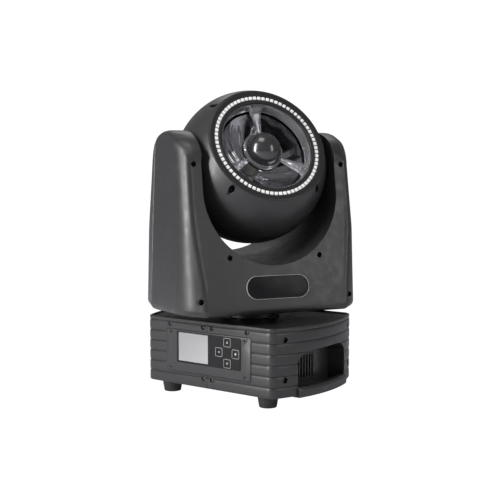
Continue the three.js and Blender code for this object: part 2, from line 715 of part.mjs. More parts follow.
// ---- assembly ----
function buildBase() {
  const group = new THREE.Group();
  const add = (name, material, solid) => addNode(group, name, material, solid);
  add("base_bottom_plate", "blackSteel", bottomPlate());
  const shell = baseShellRight();
  const sides = { right: (solid) => solid, left: mirrored };
  for (const [side, place] of Object.entries(sides)) {
    add(`base_shell_${side}`, "plastic", place(shell));
    add(`handle_${side}`, "plastic", place(handle()));
    add(`vent_grille_${side}`, "darkPlastic", place(ventGrille()));
  }
  add("base_top_cover", "darkPlastic", topCover());
  add("display_panel", "plastic", displayPanel());
  add("display_overlay", "gloss", displayOverlay());
  add("lcd_screen", "screen", lcdScreen());
  for (const [name, place] of Object.entries(KEY_PLACES)) {
    add(name, "gloss", keyCap(place));
  }
  add("rear_panel", "blackSteel", rearPanel());
  for (const plug of CONNECTORS) {
    add(plug.name, plug.material, connector(plug));
  }
  const corners = { front_left: [-1, -1], front_right: [1, -1], rear_left: [-1, 1], rear_right: [1, 1] };
  for (const [name, [sx, sy]] of Object.entries(corners)) {
    add(`foot_${name}`, "rubber", foot(sx * FOOT.x, sy * FOOT.y));
  }
  add("power_supply", "steel", box(-62, 18, -50, 50, 20, 62));
  add("control_board", "board", box(-62, 62, -80.4, -78.8, 34, 86));
  add("pan_bridge", "steel", panBridge());
  add("pan_bearing", "steel", tube(NECK.shaft + GAP, 36, 91.3, 96.5));
  const motorPlace = [PAN_MOTOR_X, 0, 0];
  add("pan_motor", "motor", stepper(PAN_PULLEY.motorZ, 40).translate(motorPlace));
  const small = shaftPulley(PAN_PULLEY.small, PAN_PULLEY.motorZ, PAN_PULLEY.z0, PAN_PULLEY.z1);
  add("pan_motor_pulley", "aluminium", small.translate(motorPlace));
  const belt = beltShape(PAN_PULLEY.large, PAN_PULLEY.small, PAN_MOTOR_X);
  add("pan_belt", "rubber", slabZ(belt, PAN_PULLEY.z0 + 1.6, PAN_PULLEY.z1 - 0.4, 8));
  return group;
}

function buildYoke() {
  const group = new THREE.Group();
  const add = (name, material, solid) => addNode(group, name, material, solid);
  const shells = yokeShells();
  add("pan_shaft", "darkPlastic", panShaft());
  const { large: panRadius, z0, z1 } = PAN_PULLEY;
  add("pan_large_pulley", "aluminium", pulley(panRadius, NECK.shaft + GAP, z0, z1));
  add("yoke_frame", "steel", yokeFrame());
  add("yoke_front_shell", "plastic", shells.front);
  add("yoke_rear_shell", "plastic", shells.rear);
  add("yoke_badge", "gloss", badge());
  const toMotor = (solid) => solid.rotate([0, 90, 0]).translate([0, 0, TILT_MOTOR_Z]);
  const top = FRAME.armIn - GAP;
  add("tilt_motor", "motor", toMotor(stepper(top, 40)));
  const { large, small, x0, x1 } = TILT_PULLEY;
  add("tilt_motor_pulley", "aluminium", toMotor(shaftPulley(small, top, x0, x1)));
  const belt = beltShape(large, small, TILT_Z - TILT_MOTOR_Z);
  const loop = slabZ(belt, x0 + 1.6, x1 - 0.4, 8).rotate([0, 90, 0]);
  add("tilt_belt", "rubber", loop.translate([0, 0, TILT_Z]));
  const onTiltAxis = { axis: "x", at: [0, 0, TILT_Z], segments: 20 };
  const bearing = tube(BEARING.inner, BEARING.outer, 96.6, 104, onTiltAxis);
  add("tilt_bearing_right", "steel", bearing);
  add("tilt_bearing_left", "steel", mirrored(bearing));
  add("driver_board", "board", box(-104.6, -103, -26, 26, 190, 262));
  return group;
}

function buildHead() {
  const group = new THREE.Group();
  const add = (name, material, solid) => addNode(group, name, material, solid);
  const shells = headShells();
  add("head_front_shell", "plastic", shells.front);
  add("head_rear_shell", "plastic", shells.rear);
  add("head_chassis", "steel", headChassis());
  add("tilt_axle_right", "steel", axle());
  add("tilt_axle_left", "steel", mirrored(axle()));
  const { large, x0, x1 } = TILT_PULLEY;
  add("tilt_large_pulley", "aluminium", pulley(large, AXLE.radius + GAP, x0, x1, { axis: "x" }));
  add("bezel_ring", "darkPlastic", bezelRing());
  add("light_ring", "lightGuide", lightRing());
  add("ring_board", "board", tube(62, 74, 52, 53.6, { segments: 20 }));
  add("lens_spider", "clear", lensSpider());
  add("centre_ball", "gloss", centreBall());
  add("reflector", "mirror", reflector());
  add("led_engine", "lightGuide", ledEngine());
  add("heatsink", "aluminium", heatsink());
  add("fan_frame", "darkPlastic", fanFrame());
  add("fan_rotor", "darkPlastic", fanRotor());
  return group;
}

const light = new THREE.Group();
const yoke = buildYoke();
const head = buildHead();
yoke.rotation.z = PAN_ANGLE;
head.position.z = TILT_Z;
head.rotation.x = Math.PI / 2 - HEAD_PITCH;
yoke.add(head);
light.add(buildBase(), yoke);

export default light;
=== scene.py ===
"""Looks of a moving head light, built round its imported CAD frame. Shapes are in millimetres in
three local frames: the base, the panned yoke and the tilted head, whose +Z is the beam."""

import json
import math

import bmesh
import bpy
from mathutils import Matrix, Vector


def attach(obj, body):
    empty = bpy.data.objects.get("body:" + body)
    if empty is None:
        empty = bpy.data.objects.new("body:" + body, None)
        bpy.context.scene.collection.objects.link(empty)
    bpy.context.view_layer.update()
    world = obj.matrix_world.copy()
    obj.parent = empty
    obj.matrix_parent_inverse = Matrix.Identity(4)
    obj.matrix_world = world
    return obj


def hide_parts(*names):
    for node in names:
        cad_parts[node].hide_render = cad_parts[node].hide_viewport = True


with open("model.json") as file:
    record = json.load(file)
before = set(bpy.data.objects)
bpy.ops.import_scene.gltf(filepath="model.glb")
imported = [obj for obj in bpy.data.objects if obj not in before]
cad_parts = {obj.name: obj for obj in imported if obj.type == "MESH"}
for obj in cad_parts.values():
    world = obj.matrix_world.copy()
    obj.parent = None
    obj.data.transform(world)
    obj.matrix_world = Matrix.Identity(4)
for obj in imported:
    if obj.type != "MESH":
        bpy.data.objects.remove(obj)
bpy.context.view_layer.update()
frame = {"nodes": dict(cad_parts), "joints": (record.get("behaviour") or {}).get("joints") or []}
JOINTS = {joint["name"]: joint for joint in frame["joints"]}

# ---- frames ----
MM = 0.001
TILT_AXIS = Vector(JOINTS["tilt"]["axis"])
TILT_POINT = Vector(JOINTS["tilt"]["pos_m"])
BEAM = Vector(JOINTS["fan_spin"]["axis"])
HEAD_UP = BEAM.cross(TILT_AXIS).normalized()


def axes(x, y, z, origin):
    turn = Matrix((x, y, z)).transposed().to_4x4()
    return Matrix.Translation(origin) @ turn @ Matrix.Scale(MM, 4)


X, Y, Z = Vector((1, 0, 0)), Vector((0, 1, 0)), Vector((0, 0, 1))
BASE = axes(X, Y, Z, (0, 0, 0))
YOKE = axes(TILT_AXIS, Z.cross(TILT_AXIS), Z, (0, 0, 0))
HEAD = axes(TILT_AXIS, HEAD_UP, BEAM, TILT_POINT)

# ---- camera: the first thing made ----
CAMERA_AZIMUTH = math.radians(37.4)
CAMERA_DISTANCE = 1.318
CAMERA_HEIGHT = 0.292
CAMERA_PITCH = math.radians(-4.55)
CAMERA_LENS = 71.7


def make_camera():
    data = bpy.data.cameras.new("camera")
    data.lens = CAMERA_LENS
    data.sensor_width = 36
    camera = bpy.data.objects.new("camera", data)
    bpy.context.scene.collection.objects.link(camera)
    ground = Vector((math.sin(CAMERA_AZIMUTH), -math.cos(CAMERA_AZIMUTH), 0)) * CAMERA_DISTANCE
    camera.location = ground + Z * CAMERA_HEIGHT
    camera.rotation_euler = (math.pi / 2 + CAMERA_PITCH, 0, CAMERA_AZIMUTH)
    bpy.context.scene.camera = camera


make_camera()


# ---- mesh tools ----
def tidy(bm):
    bmesh.ops.remove_doubles(bm, verts=bm.verts, dist=1e-7)
    loose = [v for v in bm.verts if not v.link_faces]
    bmesh.ops.delete(bm, geom=loose, context="VERTS")
    bmesh.ops.recalc_face_normals(bm, faces=bm.faces)


def soften(mesh, angle):
    """Smooth shading, broken where two faces meet at more than `angle` degrees."""
    bm = bmesh.new()
    bm.from_mesh(mesh)
    for face in bm.faces:
        face.smooth = True
    limit = math.radians(angle)
    for edge in bm.edges:
        edge.smooth = len(edge.link_faces) == 2 and edge.calc_face_angle(0) < limit
    bm.to_mesh(mesh)
    bm.free()


def raw(name, shapes, place):
    """One object from several closed (verts, faces) shapes."""
    verts, faces = [], []
    for shape_verts, shape_faces in shapes:
        start = len(verts)
        verts += [place @ Vector(v) for v in shape_verts]
        faces += [tuple(start + i for i in face) for face in shape_faces]
    mesh = bpy.data.meshes.new(name)
    mesh.from_pydata(verts, [], faces)
    bm = bmesh.new()
    bm.from_mesh(mesh)
    tidy(bm)
    bm.to_mesh(mesh)
    bm.free()
    obj = bpy.data.objects.new(name, mesh)
    bpy.context.scene.collection.objects.link(obj)
    return obj


def bake(obj):
    """Applies the modifiers."""
    graph = bpy.context.evaluated_depsgraph_get()
    mesh = bpy.data.meshes.new_from_object(obj.evaluated_get(graph))
    obj.modifiers.clear()
    old = obj.data
    obj.data = mesh
    bpy.data.meshes.remove(old)


def boolean(obj, operation, shapes, place):
    cutters = [raw("cutter", [shape], place) for shape in shapes]
    for cutter in cutters:
        step = obj.modifiers.new("boolean", "BOOLEAN")
        step.operation = operation
        step.solver = "EXACT"
        step.object = cutter
    bake(obj)
    for cutter in cutters:
        mesh = cutter.data
        bpy.data.objects.remove(cutter)
        bpy.data.meshes.remove(mesh)


def round_edges(obj, width, segments=3, angle=35):
    step = obj.modifiers.new("bevel", "BEVEL")
    step.width = width * MM
    step.segments = segments
    step.limit_method = "ANGLE"
    step.angle_limit = math.radians(angle)
    step.harden_normals = False
    bake(obj)


def finish_piece(obj, body, material, replaced=(), angle=30):
    soften(obj.data, angle)
    obj.data.materials.clear()
    obj.data.materials.append(material)
    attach(obj, body)
    if replaced:
        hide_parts(*replaced)
    return obj


# ---- shapes as (verts, faces) ----
def loft(loops, closed=False):
    count = len(loops[0])
    verts = [tuple(p) for loop in loops for p in loop]
    faces = []
    rows = len(loops) if closed else len(loops) - 1
    for row in range(rows):
        here, there = row * count, ((row + 1) % len(loops)) * count
        for i in range(count):
            j = (i + 1) % count
            faces.append((here + i, here + j, there + j, there + i))
    if not closed:
        faces.append(tuple(reversed(range(count))))
        faces.append(tuple(range((len(loops) - 1) * count, len(loops) * count)))
    return verts, faces


def turned(profile, segments=96, closed=False):
    """A (radius, height) profile turned about Z; a closed profile makes a ring."""
    loops = []
    for radius, height in profile:
        ring = []
        for i in range(segments):
            a = 2 * math.pi * i / segments
            ring.append((radius * math.cos(a), radius * math.sin(a), height))
        loops.append(ring)
    return loft(loops, closed)


def moved(shape, matrix):
    verts, faces = shape
    return [tuple(matrix @ Vector(v)) for v in verts], faces


def shifted(shape, x=0, y=0, z=0):
    return moved(shape, Matrix.Translation((x, y, z)))


def prism(outline, low, high, axis="z"):
    """A 2-D outline in XY, XZ or YZ, pushed along the third axis."""
    put = {
        "z": lambda a, b, c: (a, b, c),
        "y": lambda a, b, c: (a, c, b),
        "x": lambda a, b, c: (c, a, b),
    }[axis]
    return loft([[put(a, b, c) for a, b in outline] for c in (low, high)])


def block(x0, x1, y0, y1, z0, z1):
    return prism([(x0, y0), (x1, y0), (x1, y1), (x0, y1)], z0, z1)


def rounded_rect(x0, x1, y0, y1, r, steps=6):
    points = []
    corners = ((x1 - r, y0 + r, -90), (x1 - r, y1 - r, 0), (x0 + r, y1 - r, 90), (x0 + r, y0 + r, 180))
    for cx, cy, start in corners:
        for i in range(steps + 1):
            a = math.radians(start + 90 * i / steps)
            points.append((cx + r * math.cos(a), cy + r * math.sin(a)))
    return points


def frame_at(point, normal):
    """A frame with its Z along a normal."""
    return Matrix.Translation(point) @ Vector(normal).to_track_quat("Z", "Y").to_matrix().to_4x4()


def well(point, normal, radius, depth, out=20):
    """A round hole into a surface from outside."""
    return moved(turned([(radius, -depth), (radius, out)], 32), frame_at(point, normal))


def screw_head(point, normal, radius=2.7):
    """Pan head with a cross recess, standing on a surface."""
    arc = [(radius * math.sin(a), 0.55 * radius * math.cos(a)) for a in (1.57, 1.3, 1.0, 0.7, 0.35)]
    arm, half, floor = 0.62 * radius, 0.16 * radius, 0.15 * radius
    cross = []
    for i in range(4):
        a = math.pi / 2 * i
        for along, side in ((arm, -half), (arm, half), (half, half)):
            x = along * math.cos(a) - side * math.sin(a)
            y = along * math.sin(a) + side * math.cos(a)
            cross.append((x, y))
    ring = []
    for x, y in cross:
        a = math.atan2(y, x)
        ring.append((0.8 * radius * math.cos(a), 0.8 * radius * math.sin(a)))
    turns = [math.atan2(y, x) for x, y in cross]
    loops = [[(r * math.cos(a), r * math.sin(a), z) for a in turns] for r, z in [(radius, -0.3), *arc]]
    top = 0.55 * radius * math.cos(0.2)
    loops.append([(x * 1.05, y * 1.05, top) for x, y in cross])
    loops.append([(x * 0.8, y * 0.8, floor) for x, y in cross])
    return moved(loft(loops), frame_at(point, normal))


# ---- materials ----
class Shader:
    """A node material with object coordinates, which stay with the piece as it moves."""

    def __init__(self, name):
        self.material = bpy.data.materials.new(name)
        self.material.use_nodes = True
        self.tree = self.material.node_tree
        self.tree.nodes.clear()
        self.output = self.node("ShaderNodeOutputMaterial")
        self.coords = self.node("ShaderNodeTexCoord").outputs["Object"]

    def node(self, kind, settings=None, **inputs):
        made = self.tree.nodes.new(kind)
        for key, value in (settings or {}).items():
            setattr(made, key, value)
        for key, value in inputs.items():
            socket = made.inputs[int(key[1:])] if key[0] == "_" else made.inputs[key.replace("_", " ")]
            if isinstance(value, bpy.types.NodeSocket):
                self.tree.links.new(value, socket)
            else:
                socket.default_value = value
        return made

    def noise(self, scale, detail=3.0, roughness=0.55, stretch=(1, 1, 1)):
        place = self.node("ShaderNodeMapping", Vector=self.coords, Scale=stretch)
        return self.node(
            "ShaderNodeTexNoise", Vector=place.outputs[0], Scale=scale, Detail=detail, Roughness=roughness
        ).outputs["Fac"]

    def ramp(self, value, low, high, to_low=0.0, to_high=1.0):
        made = self.node("ShaderNodeMapRange", Value=value)
        for i, number in enumerate((low, high, to_low, to_high), 1):
            made.inputs[i].default_value = number
        return made.outputs[0]

    def math(self, operation, a, b):
        return self.node("ShaderNodeMath", {"operation": operation}, _0=a, _1=b).outputs[0]

    def mix(self, factor, a, b):
        made = self.node("ShaderNodeMix", {"data_type": "RGBA"})
        for index, value in ((0, factor), (6, a), (7, b)):
            if isinstance(value, bpy.types.NodeSocket):
                self.tree.links.new(value, made.inputs[index])
            else:
                made.inputs[index].default_value = value
        return made.outputs[2]

    def edges(self, radius):
        """1 on convex or concave edges, 0 on open faces, with the rounded normal."""
        bevel = self.node("ShaderNodeBevel", {"samples": 4}, Radius=radius).outputs[0]
        normal = self.node("ShaderNodeNewGeometry").outputs["Normal"]
        dot = self.node("ShaderNodeVectorMath", {"operation": "DOT_PRODUCT"}, _0=bevel, _1=normal)
        return bevel, self.ramp(dot.outputs["Value"], 0.985, 0.8)

    def bump(self, height, strength, distance, normal=None):
        made = self.node("ShaderNodeBump", Height=height, Strength=strength, Distance=distance)
        if normal is not None:
            self.tree.links.new(normal, made.inputs["Normal"])
        return made.outputs[0]

    def surface(self, **inputs):
        shader = self.node("ShaderNodeBsdfPrincipled", **inputs)
        self.tree.links.new(shader.outputs[0], self.output.inputs["Surface"])
        return self.material


def rgba(r, g, b):
    return (r, g, b, 1.0)


def grey(value):
    return rgba(value, value, value * 1.03)


def plastic(name, tone, roughness, grain=0.12, wear=0.5, edge=0.0007, spread=0.06):
    """Moulded ABS: fine spark-eroded grain, slow tone drift, rubbed edges."""
    s = Shader(name)
    rounded, rim = s.edges(edge)
    fine = s.noise(1900, 2.0)
    slow = s.noise(14, 4.0)
    blotch = s.noise(90, 3.0)
    worn = s.math("MULTIPLY", rim, s.ramp(blotch, 0.35, 0.75, 0.0, wear))
    body = s.mix(slow, rgba(*(0.86 * c for c in tone)), rgba(*(1.16 * c for c in tone)))
    colour = s.mix(worn, body, rgba(*(min(1.0, 2.4 * c + 0.01) for c in tone)))
    uneven = s.ramp(blotch, 0.3, 0.7, roughness - spread, roughness + spread)
    rough = s.math("SUBTRACT", uneven, s.math("MULTIPLY", worn, 0.12))
    normal = s.bump(fine, grain, 0.00012, rounded)
    return s.surface(Base_Color=colour, Roughness=rough, Normal=normal)


def gloss(name, tone, roughness=0.12, spread=0.35, specular=0.5):
    """Polished black: a faint haze in the gloss."""
    s = Shader(name)
    rounded, _ = s.edges(0.0004)
    haze = s.noise(30, 3.0)
    colour = s.mix(s.noise(25), rgba(*(0.9 * c for c in tone)), rgba(*(1.1 * c for c in tone)))
    rough = s.ramp(haze, 0.3, 0.7, roughness * (1 - spread), roughness * (1 + spread))
    normal = s.bump(s.noise(900, 2.0), 0.02, 0.00004, rounded)
    return s.surface(Base_Color=colour, Roughness=rough, Specular_IOR_Level=specular, Normal=normal)


def metal(name, tone, roughness, stretch=(1, 1, 1), scale=500, strength=0.1):
    """Sheet or turned metal: brushed grain, dull patches, brighter edges."""
    s = Shader(name)
    rounded, rim = s.edges(0.0005)
    grain = s.noise(scale, 4.0, 0.6, stretch)
    patch = s.noise(35, 4.0)
    body = s.mix(patch, rgba(*(0.8 * c for c in tone)), rgba(*(min(1, 1.1 * c) for c in tone)))
    colour = s.mix(rim, body, rgba(*(min(1, 1.3 * c + 0.02) for c in tone)))
    rough = s.ramp(s.math("ADD", grain, patch), 0.6, 1.4, roughness * 0.7, roughness * 1.35)
    normal = s.bump(grain, strength, 0.0001, rounded)
    return s.surface(Base_Color=colour, Roughness=rough, Metallic=1.0, Normal=normal)


def rubber(name):
    s = Shader(name)
    rounded, rim = s.edges(0.0008)
    fine = s.noise(1200, 3.0)
    dust = s.ramp(s.noise(80, 5.0, 0.7), 0.5, 0.8, 0.0, 0.5)
    pale = s.math("MAXIMUM", dust, s.math("MULTIPLY", rim, 0.4))
    colour = s.mix(pale, rgba(0.013, 0.013, 0.013), rgba(0.045, 0.044, 0.043))
    rough = s.ramp(dust, 0.0, 0.5, 0.62, 0.85)
    return s.surface(Base_Color=colour, Roughness=rough, Normal=s.bump(fine, 0.25, 0.0002, rounded))


def board(name, mask=(0.006, 0.07, 0.03), track=(0.012, 0.13, 0.055)):
    """Solder resist over copper tracks, with pale pads."""
    s = Shader(name)
    squares = {"distance": "CHEBYCHEV", "feature": "F1"}
    tracks = s.node("ShaderNodeTexVoronoi", squares, Vector=s.coords, Scale=220.0)
    pads = s.ramp(tracks.outputs["Distance"], 0.10, 0.14, 1.0, 0.0)
    lines = s.ramp(s.noise(260, 0.0, 0.5, (1, 8, 1)), 0.49, 0.53)
    resist = s.mix(lines, rgba(*mask), rgba(*track))
    colour = s.mix(pads, resist, rgba(0.55, 0.56, 0.5))
    rough = s.ramp(s.noise(120), 0.3, 0.7, 0.25, 0.45)
    metallic = s.math("MULTIPLY", pads, 0.9)
    normal = s.bump(lines, 0.2, 0.0001)
    return s.surface(Base_Color=colour, Roughness=rough, Metallic=metallic, Normal=normal)


def mirror(name):
    """Vacuum-metallised bowl, with faint ripples from its moulding."""
    s = Shader(name)
    ripple = s.noise(45, 3.0)
    haze = s.noise(400, 3.0)
    colour = s.mix(ripple, grey(0.46), grey(0.68))
    rough = s.ramp(haze, 0.3, 0.7, 0.05, 0.12)
    normal = s.bump(ripple, 0.22, 0.0012)
    return s.surface(Base_Color=colour, Metallic=1.0, Roughness=rough, Normal=normal)


def clear(name, tint=0.97, roughness=0.04, haze=0.1):
    """Moulded clear plastic, with flow lines and a little haze."""
    s = Shader(name)
    flow = s.noise(120, 3.0, 0.6, (1, 1, 3))
    colour = s.mix(s.noise(50), grey(tint), grey(tint * 0.96))
    rough = s.ramp(s.noise(500), 0.3, 0.7, roughness, roughness * 2.5)
    normal = s.bump(flow, 0.3, 0.0004)
    return s.surface(
        Base_Color=colour, Roughness=rough, IOR=1.49, Transmission_Weight=1.0 - haze, Normal=normal
    )


def glow(name, colour, strength, roughness=0.3):
    """A lit diffuser, a little uneven."""
    s = Shader(name)
    uneven = s.noise(300, 2.0)
    tone = s.mix(uneven, rgba(*(0.9 * c for c in colour)), rgba(*colour))
    rough = s.ramp(s.noise(700), 0.3, 0.7, roughness * 0.8, roughness * 1.3)
    power = s.ramp(uneven, 0.3, 0.7, 0.9 * strength, 1.1 * strength)
    normal = s.bump(uneven, 0.05, 0.0001)
    return s.surface(
        Base_Color=tone, Roughness=rough, Emission_Color=tone, Emission_Strength=power, Normal=normal
    )


def lcd_glass(name):
    """Pale screen, brighter towards its lower right corner, with a fine pixel grid."""
    s = Shader(name)
    split = s.node("ShaderNodeSeparateXYZ", Vector=s.coords)
    across = s.ramp(split.outputs["X"], -0.047, 0.002)
    down = s.ramp(split.outputs["Z"], 0.084, 0.048)
    light = s.math("MULTIPLY", s.math("ADD", across, down), 0.5)
    grid = s.node("ShaderNodeTexWave", {"bands_direction": "Z"}, Vector=s.coords, Scale=1400.0)
    tone = s.mix(light, grey(0.22), grey(0.34))
    fine = s.mix(s.math("MULTIPLY", grid.outputs["Fac"], 0.08), tone, grey(0.25))
    rough = s.ramp(s.noise(40), 0.3, 0.7, 0.12, 0.2)
    return s.surface(Base_Color=fine, Roughness=rough, Emission_Color=fine, Emission_Strength=0.1)


CHARCOAL = (0.022, 0.022, 0.023)
BLACK = (0.011, 0.011, 0.012)
SHELL = plastic("shell_plastic", CHARCOAL, 0.38, grain=0.3)
DARK = plastic("dark_plastic", BLACK, 0.42)
GLOSS = gloss("gloss_black", (0.005, 0.005, 0.006), 0.34, specular=0.18)
BALL_GLOSS = gloss("ball_gloss", (0.02, 0.02, 0.021), 0.2, 0.1, specular=0.9)
MEMBRANE = gloss("membrane", (0.008, 0.008, 0.009), 0.4, 0.06, specular=0.2)
# Pale material for the keys' printed arrow and dot marks, also used for a painted highlight ring along
# each keycap's edge.
PRINT_AND_EDGE_HIGHLIGHT = plastic("pale_print_and_edge_highlight", (0.42, 0.42, 0.42), 0.5, wear=0.1)
RIM = plastic("pale_rim", (0.3, 0.3, 0.31), 0.35, wear=0.3)
RUBBER = rubber("rubber")
STEEL = metal("zinc_steel", (0.52, 0.53, 0.54), 0.34, (1, 1, 12))
BLACK_STEEL = plastic("powder_coat", (0.014, 0.014, 0.015), 0.55, grain=0.5, wear=0.8)
SCREW = metal("black_zinc", (0.10, 0.10, 0.105), 0.34, scale=900)
ALUMINIUM = metal("aluminium", (0.68, 0.69, 0.7), 0.3, (10, 1, 1))
ANODISED = metal("black_anodised", (0.05, 0.05, 0.053), 0.36, (1, 1, 14))
MOTOR = metal("motor_casing", (0.07, 0.07, 0.075), 0.42, (1, 1, 20), 200)
MIRROR = mirror("mirror")
CLEAR = clear("clear_plastic")
LAMP = glow("lamp_segment", (0.8, 0.8, 0.79), 0.2)
LED = glow("led_module", (0.22, 0.215, 0.2), 0.02)
BOARD = board("circuit_board")
BLACK_BOARD = board("black_circuit_board", (0.008, 0.008, 0.009), (0.02, 0.02, 0.021))
SCREEN = lcd_glass("screen")
BLUE = plastic("blue_plastic", (0.02, 0.06, 0.26), 0.42)
PALE = plastic("grey_plastic", (0.34, 0.35, 0.36), 0.42)

# ---- base ----
HALF_Y, BOTTOM, TOP = 89, 15.7, 102
SIDE_RADIUS, SIDE_BULGE, CORNER = 200, 122, 12
SIDE_X = SIDE_BULGE - SIDE_RADIUS
RIB_FIRST, RIB_PITCH, RIB_DEPTH, RIB_FLATNESS = 28.9, 13.5, 1.7, 3.6
POCKET_Y, POCKET_TOP, POCKET_SHOULDER, POCKET_CHAMFER, POCKET_WALL = 53, 71, 62, 38, 176
PANEL = (-69.5, 69.5, 32.7, 87.5)
NECK_RADIUS = 38
FOOT_X, FOOT_Y = 79, 66.6


def base_outline(inset, corner_steps=8, side_steps=36):
    corner_y = HALF_Y - CORNER
    reach = SIDE_RADIUS - CORNER
    corner_x = SIDE_X + math.sqrt(reach**2 - corner_y**2)
    turn = math.asin(corner_y / reach)
    r = CORNER - inset
    quarter = []
    for i in range(corner_steps + 1):
        a = -math.pi / 2 + (math.pi / 2 - turn) * i / corner_steps
        quarter.append((corner_x + r * math.cos(a), -corner_y + r * math.sin(a)))
    for i in range(1, side_steps // 2 + 1):
        a = -turn + turn * i / (side_steps // 2)
        side_r = SIDE_RADIUS - inset
        quarter.append((SIDE_X + side_r * math.cos(a), side_r * math.sin(a)))
    right = quarter + [(x, -y) for x, y in reversed(quarter[:-1])]
    return right + [(-x, -y) for x, y in right]


def rib_inset(z):
    """Flat-topped ribs between narrow grooves."""
    phase = ((z - RIB_FIRST) / RIB_PITCH) % 1
    u = 2 * min(phase, 1 - phase)
    return RIB_DEPTH * (1 - (1 - (1 - u) ** RIB_FLATNESS) ** (1 / RIB_FLATNESS))


def ribbed_casing():
    levels = set()
    for rib in range(-1, 7):
        middle = RIB_FIRST + (rib + 0.5) * RIB_PITCH
        for i in range(-8, 9):
            z = middle + 0.5 * RIB_PITCH * math.sin(math.pi / 2 * i / 8)
            if BOTTOM + 1.2 < z < TOP - 1.8:
                levels.add(round(z, 4))
    loops = []
    for t in (0, 0.35, 0.7, 1.0):
        curve = 1 - math.sqrt(1 - (1 - t) ** 2)
        loops.append((BOTTOM + 1.2 * t, rib_inset(BOTTOM + 1.2) + 1.2 * curve))
    loops += [(z, rib_inset(z)) for z in sorted(levels)]
    for t in (1.0, 0.7, 0.35, 0):
        curve = 1 - math.sqrt(1 - (1 - t) ** 2)
        loops.append((TOP - 1.8 * t, rib_inset(TOP - 1.8) + 1.8 * curve))
    return loft([[(x, y, z) for x, y in base_outline(inset)] for z, inset in loops])


def base_slab(inset, z0, z1):
    return prism(base_outline(inset), z0, z1)


def side_disc(radius, z0, z1):
    return shifted(turned([(radius, z0), (radius, z1)], 360), x=SIDE_X)


def pocket_shape(extra):
    """Outline of the hand pocket in YZ, with softened upper corners."""
    side = POCKET_Y + extra
    top, shoulder = POCKET_TOP + extra, POCKET_SHOULDER + extra
    chamfer = POCKET_CHAMFER + extra
    upper = []
    for i in range(9):
        t = i / 8
        y = (1 - t) ** 2 * side + 2 * t * (1 - t) * (chamfer + 7) + t**2 * (chamfer - 6)
        z = (1 - t) ** 2 * (shoulder - 3) + 2 * t * (1 - t) * (top - 1.5) + t**2 * top
        upper.append((y, z))
    left = [(-y, z) for y, z in reversed(upper)]
    return [(side, 5), *upper, *left, (-side, 5)]


def flipped(shape):
    verts, faces = shape
    return [(-x, y, z) for x, y, z in verts], faces


def casing_screws():
    """Points and outward normals of the casing screws of the +X half."""
    face_y = -HALF_Y + 0.9
    flush = [((6.9, face_y, 93.5), -Y), ((6.9, face_y, 27.5), -Y), ((63, face_y, 93.5), -Y)]
    a = math.radians(22)
    side = Vector((math.cos(a), -math.sin(a), 0))
    deep = [(Vector((107.3, -71.0, z)), side) for z in (87.1, 37.7)]
    both = [(Vector(p), Vector(n)) for p, n in flush], [(Vector(p), Vector(n)) for p, n in deep]
    mirror_y = Matrix.Scale(-1, 4, Y)
    return [group + [(mirror_y @ p, mirror_y @ n) for p, n in group] for group in both]


def base_shell(side):
    sign = 1 if side == "right" else -1
    obj = raw(f"casing_{side}", [ribbed_casing()], BASE)
    keep = block(0.15, 140, -100, 100, 0, 120)
    cavity = raw("cavity", [base_slab(3, BOTTOM - 1, TOP + 1)], BASE)
    pocket_wall = raw("wall", [prism(pocket_shape(3), 60, 140, "x")], BASE)
    boolean(pocket_wall, "DIFFERENCE", [side_disc(POCKET_WALL - 3, -1, 90)], BASE)
    pocket = raw("pocket", [prism(pocket_shape(0), 60, 140, "x")], BASE)
    boolean(pocket, "DIFFERENCE", [side_disc(POCKET_WALL, -1, 90)], BASE)
    merge(cavity, "DIFFERENCE", pocket_wall)
    boolean(obj, "INTERSECT", [keep], BASE)
    merge(obj, "DIFFERENCE", cavity)
    merge(obj, "DIFFERENCE", pocket)
    x0, x1, z0, z1 = PANEL
    window = prism(rounded_rect(x0 - 0.3, x1 + 0.3, z0 - 0.3, z1 + 0.3, 3.5), -100, 100, "y")
    grille = block(80, 110, -46.3, 6.3, 28.7, 61.3)
    cutters = [window, grille]
    flush, deep = casing_screws()
    cutters += [well(p, n, 3.2, 0.9) for p, n in flush]
    cutters += [well(p, n, 3.6, 2.6) for p, n in deep]
    boolean(obj, "DIFFERENCE", cutters, BASE)
    if sign < 0:
        for v in obj.data.vertices:
            v.co.x *= -1
        obj.data.flip_normals()
    return finish_piece(obj, "base", SHELL, [f"base_shell_{side}"])


def merge(obj, operation, other):
    """A boolean with another object, which is used up."""
    step = obj.modifiers.new("boolean", "BOOLEAN")
    step.operation = operation
    step.solver = "EXACT"
    step.object = other
    bake(obj)
    mesh = other.data
    bpy.data.objects.remove(other)
    bpy.data.meshes.remove(mesh)


def base_screws():
    shapes = []
    flush, deep = casing_screws()
    for sign in (1, -1):
        flip = Matrix.Scale(sign, 4, X)
        shapes += [screw_head(flip @ p - (flip @ n) * 0.9, flip @ n, 2.6) for p, n in flush]
        shapes += [screw_head(flip @ p - (flip @ n) * 2.6, flip @ n, 3.0) for p, n in deep]
    obj = raw("base_screws", shapes, BASE)
    finish_piece(obj, "base", SCREW, angle=40)


def sector(r0, r1, a0, a1, z0, z1, steps=24):
    """A curved bar about the base's side centre, from angle to angle."""
    loops = []
    for i in range(steps + 1):
        a = a0 + (a1 - a0) * i / steps
        corners = ((r0, z0), (r1, z0), (r1, z1), (r0, z1))
        loops.append([(SIDE_X + r * math.cos(a), r * math.sin(a), z) for r, z in corners])
    return loft(loops)


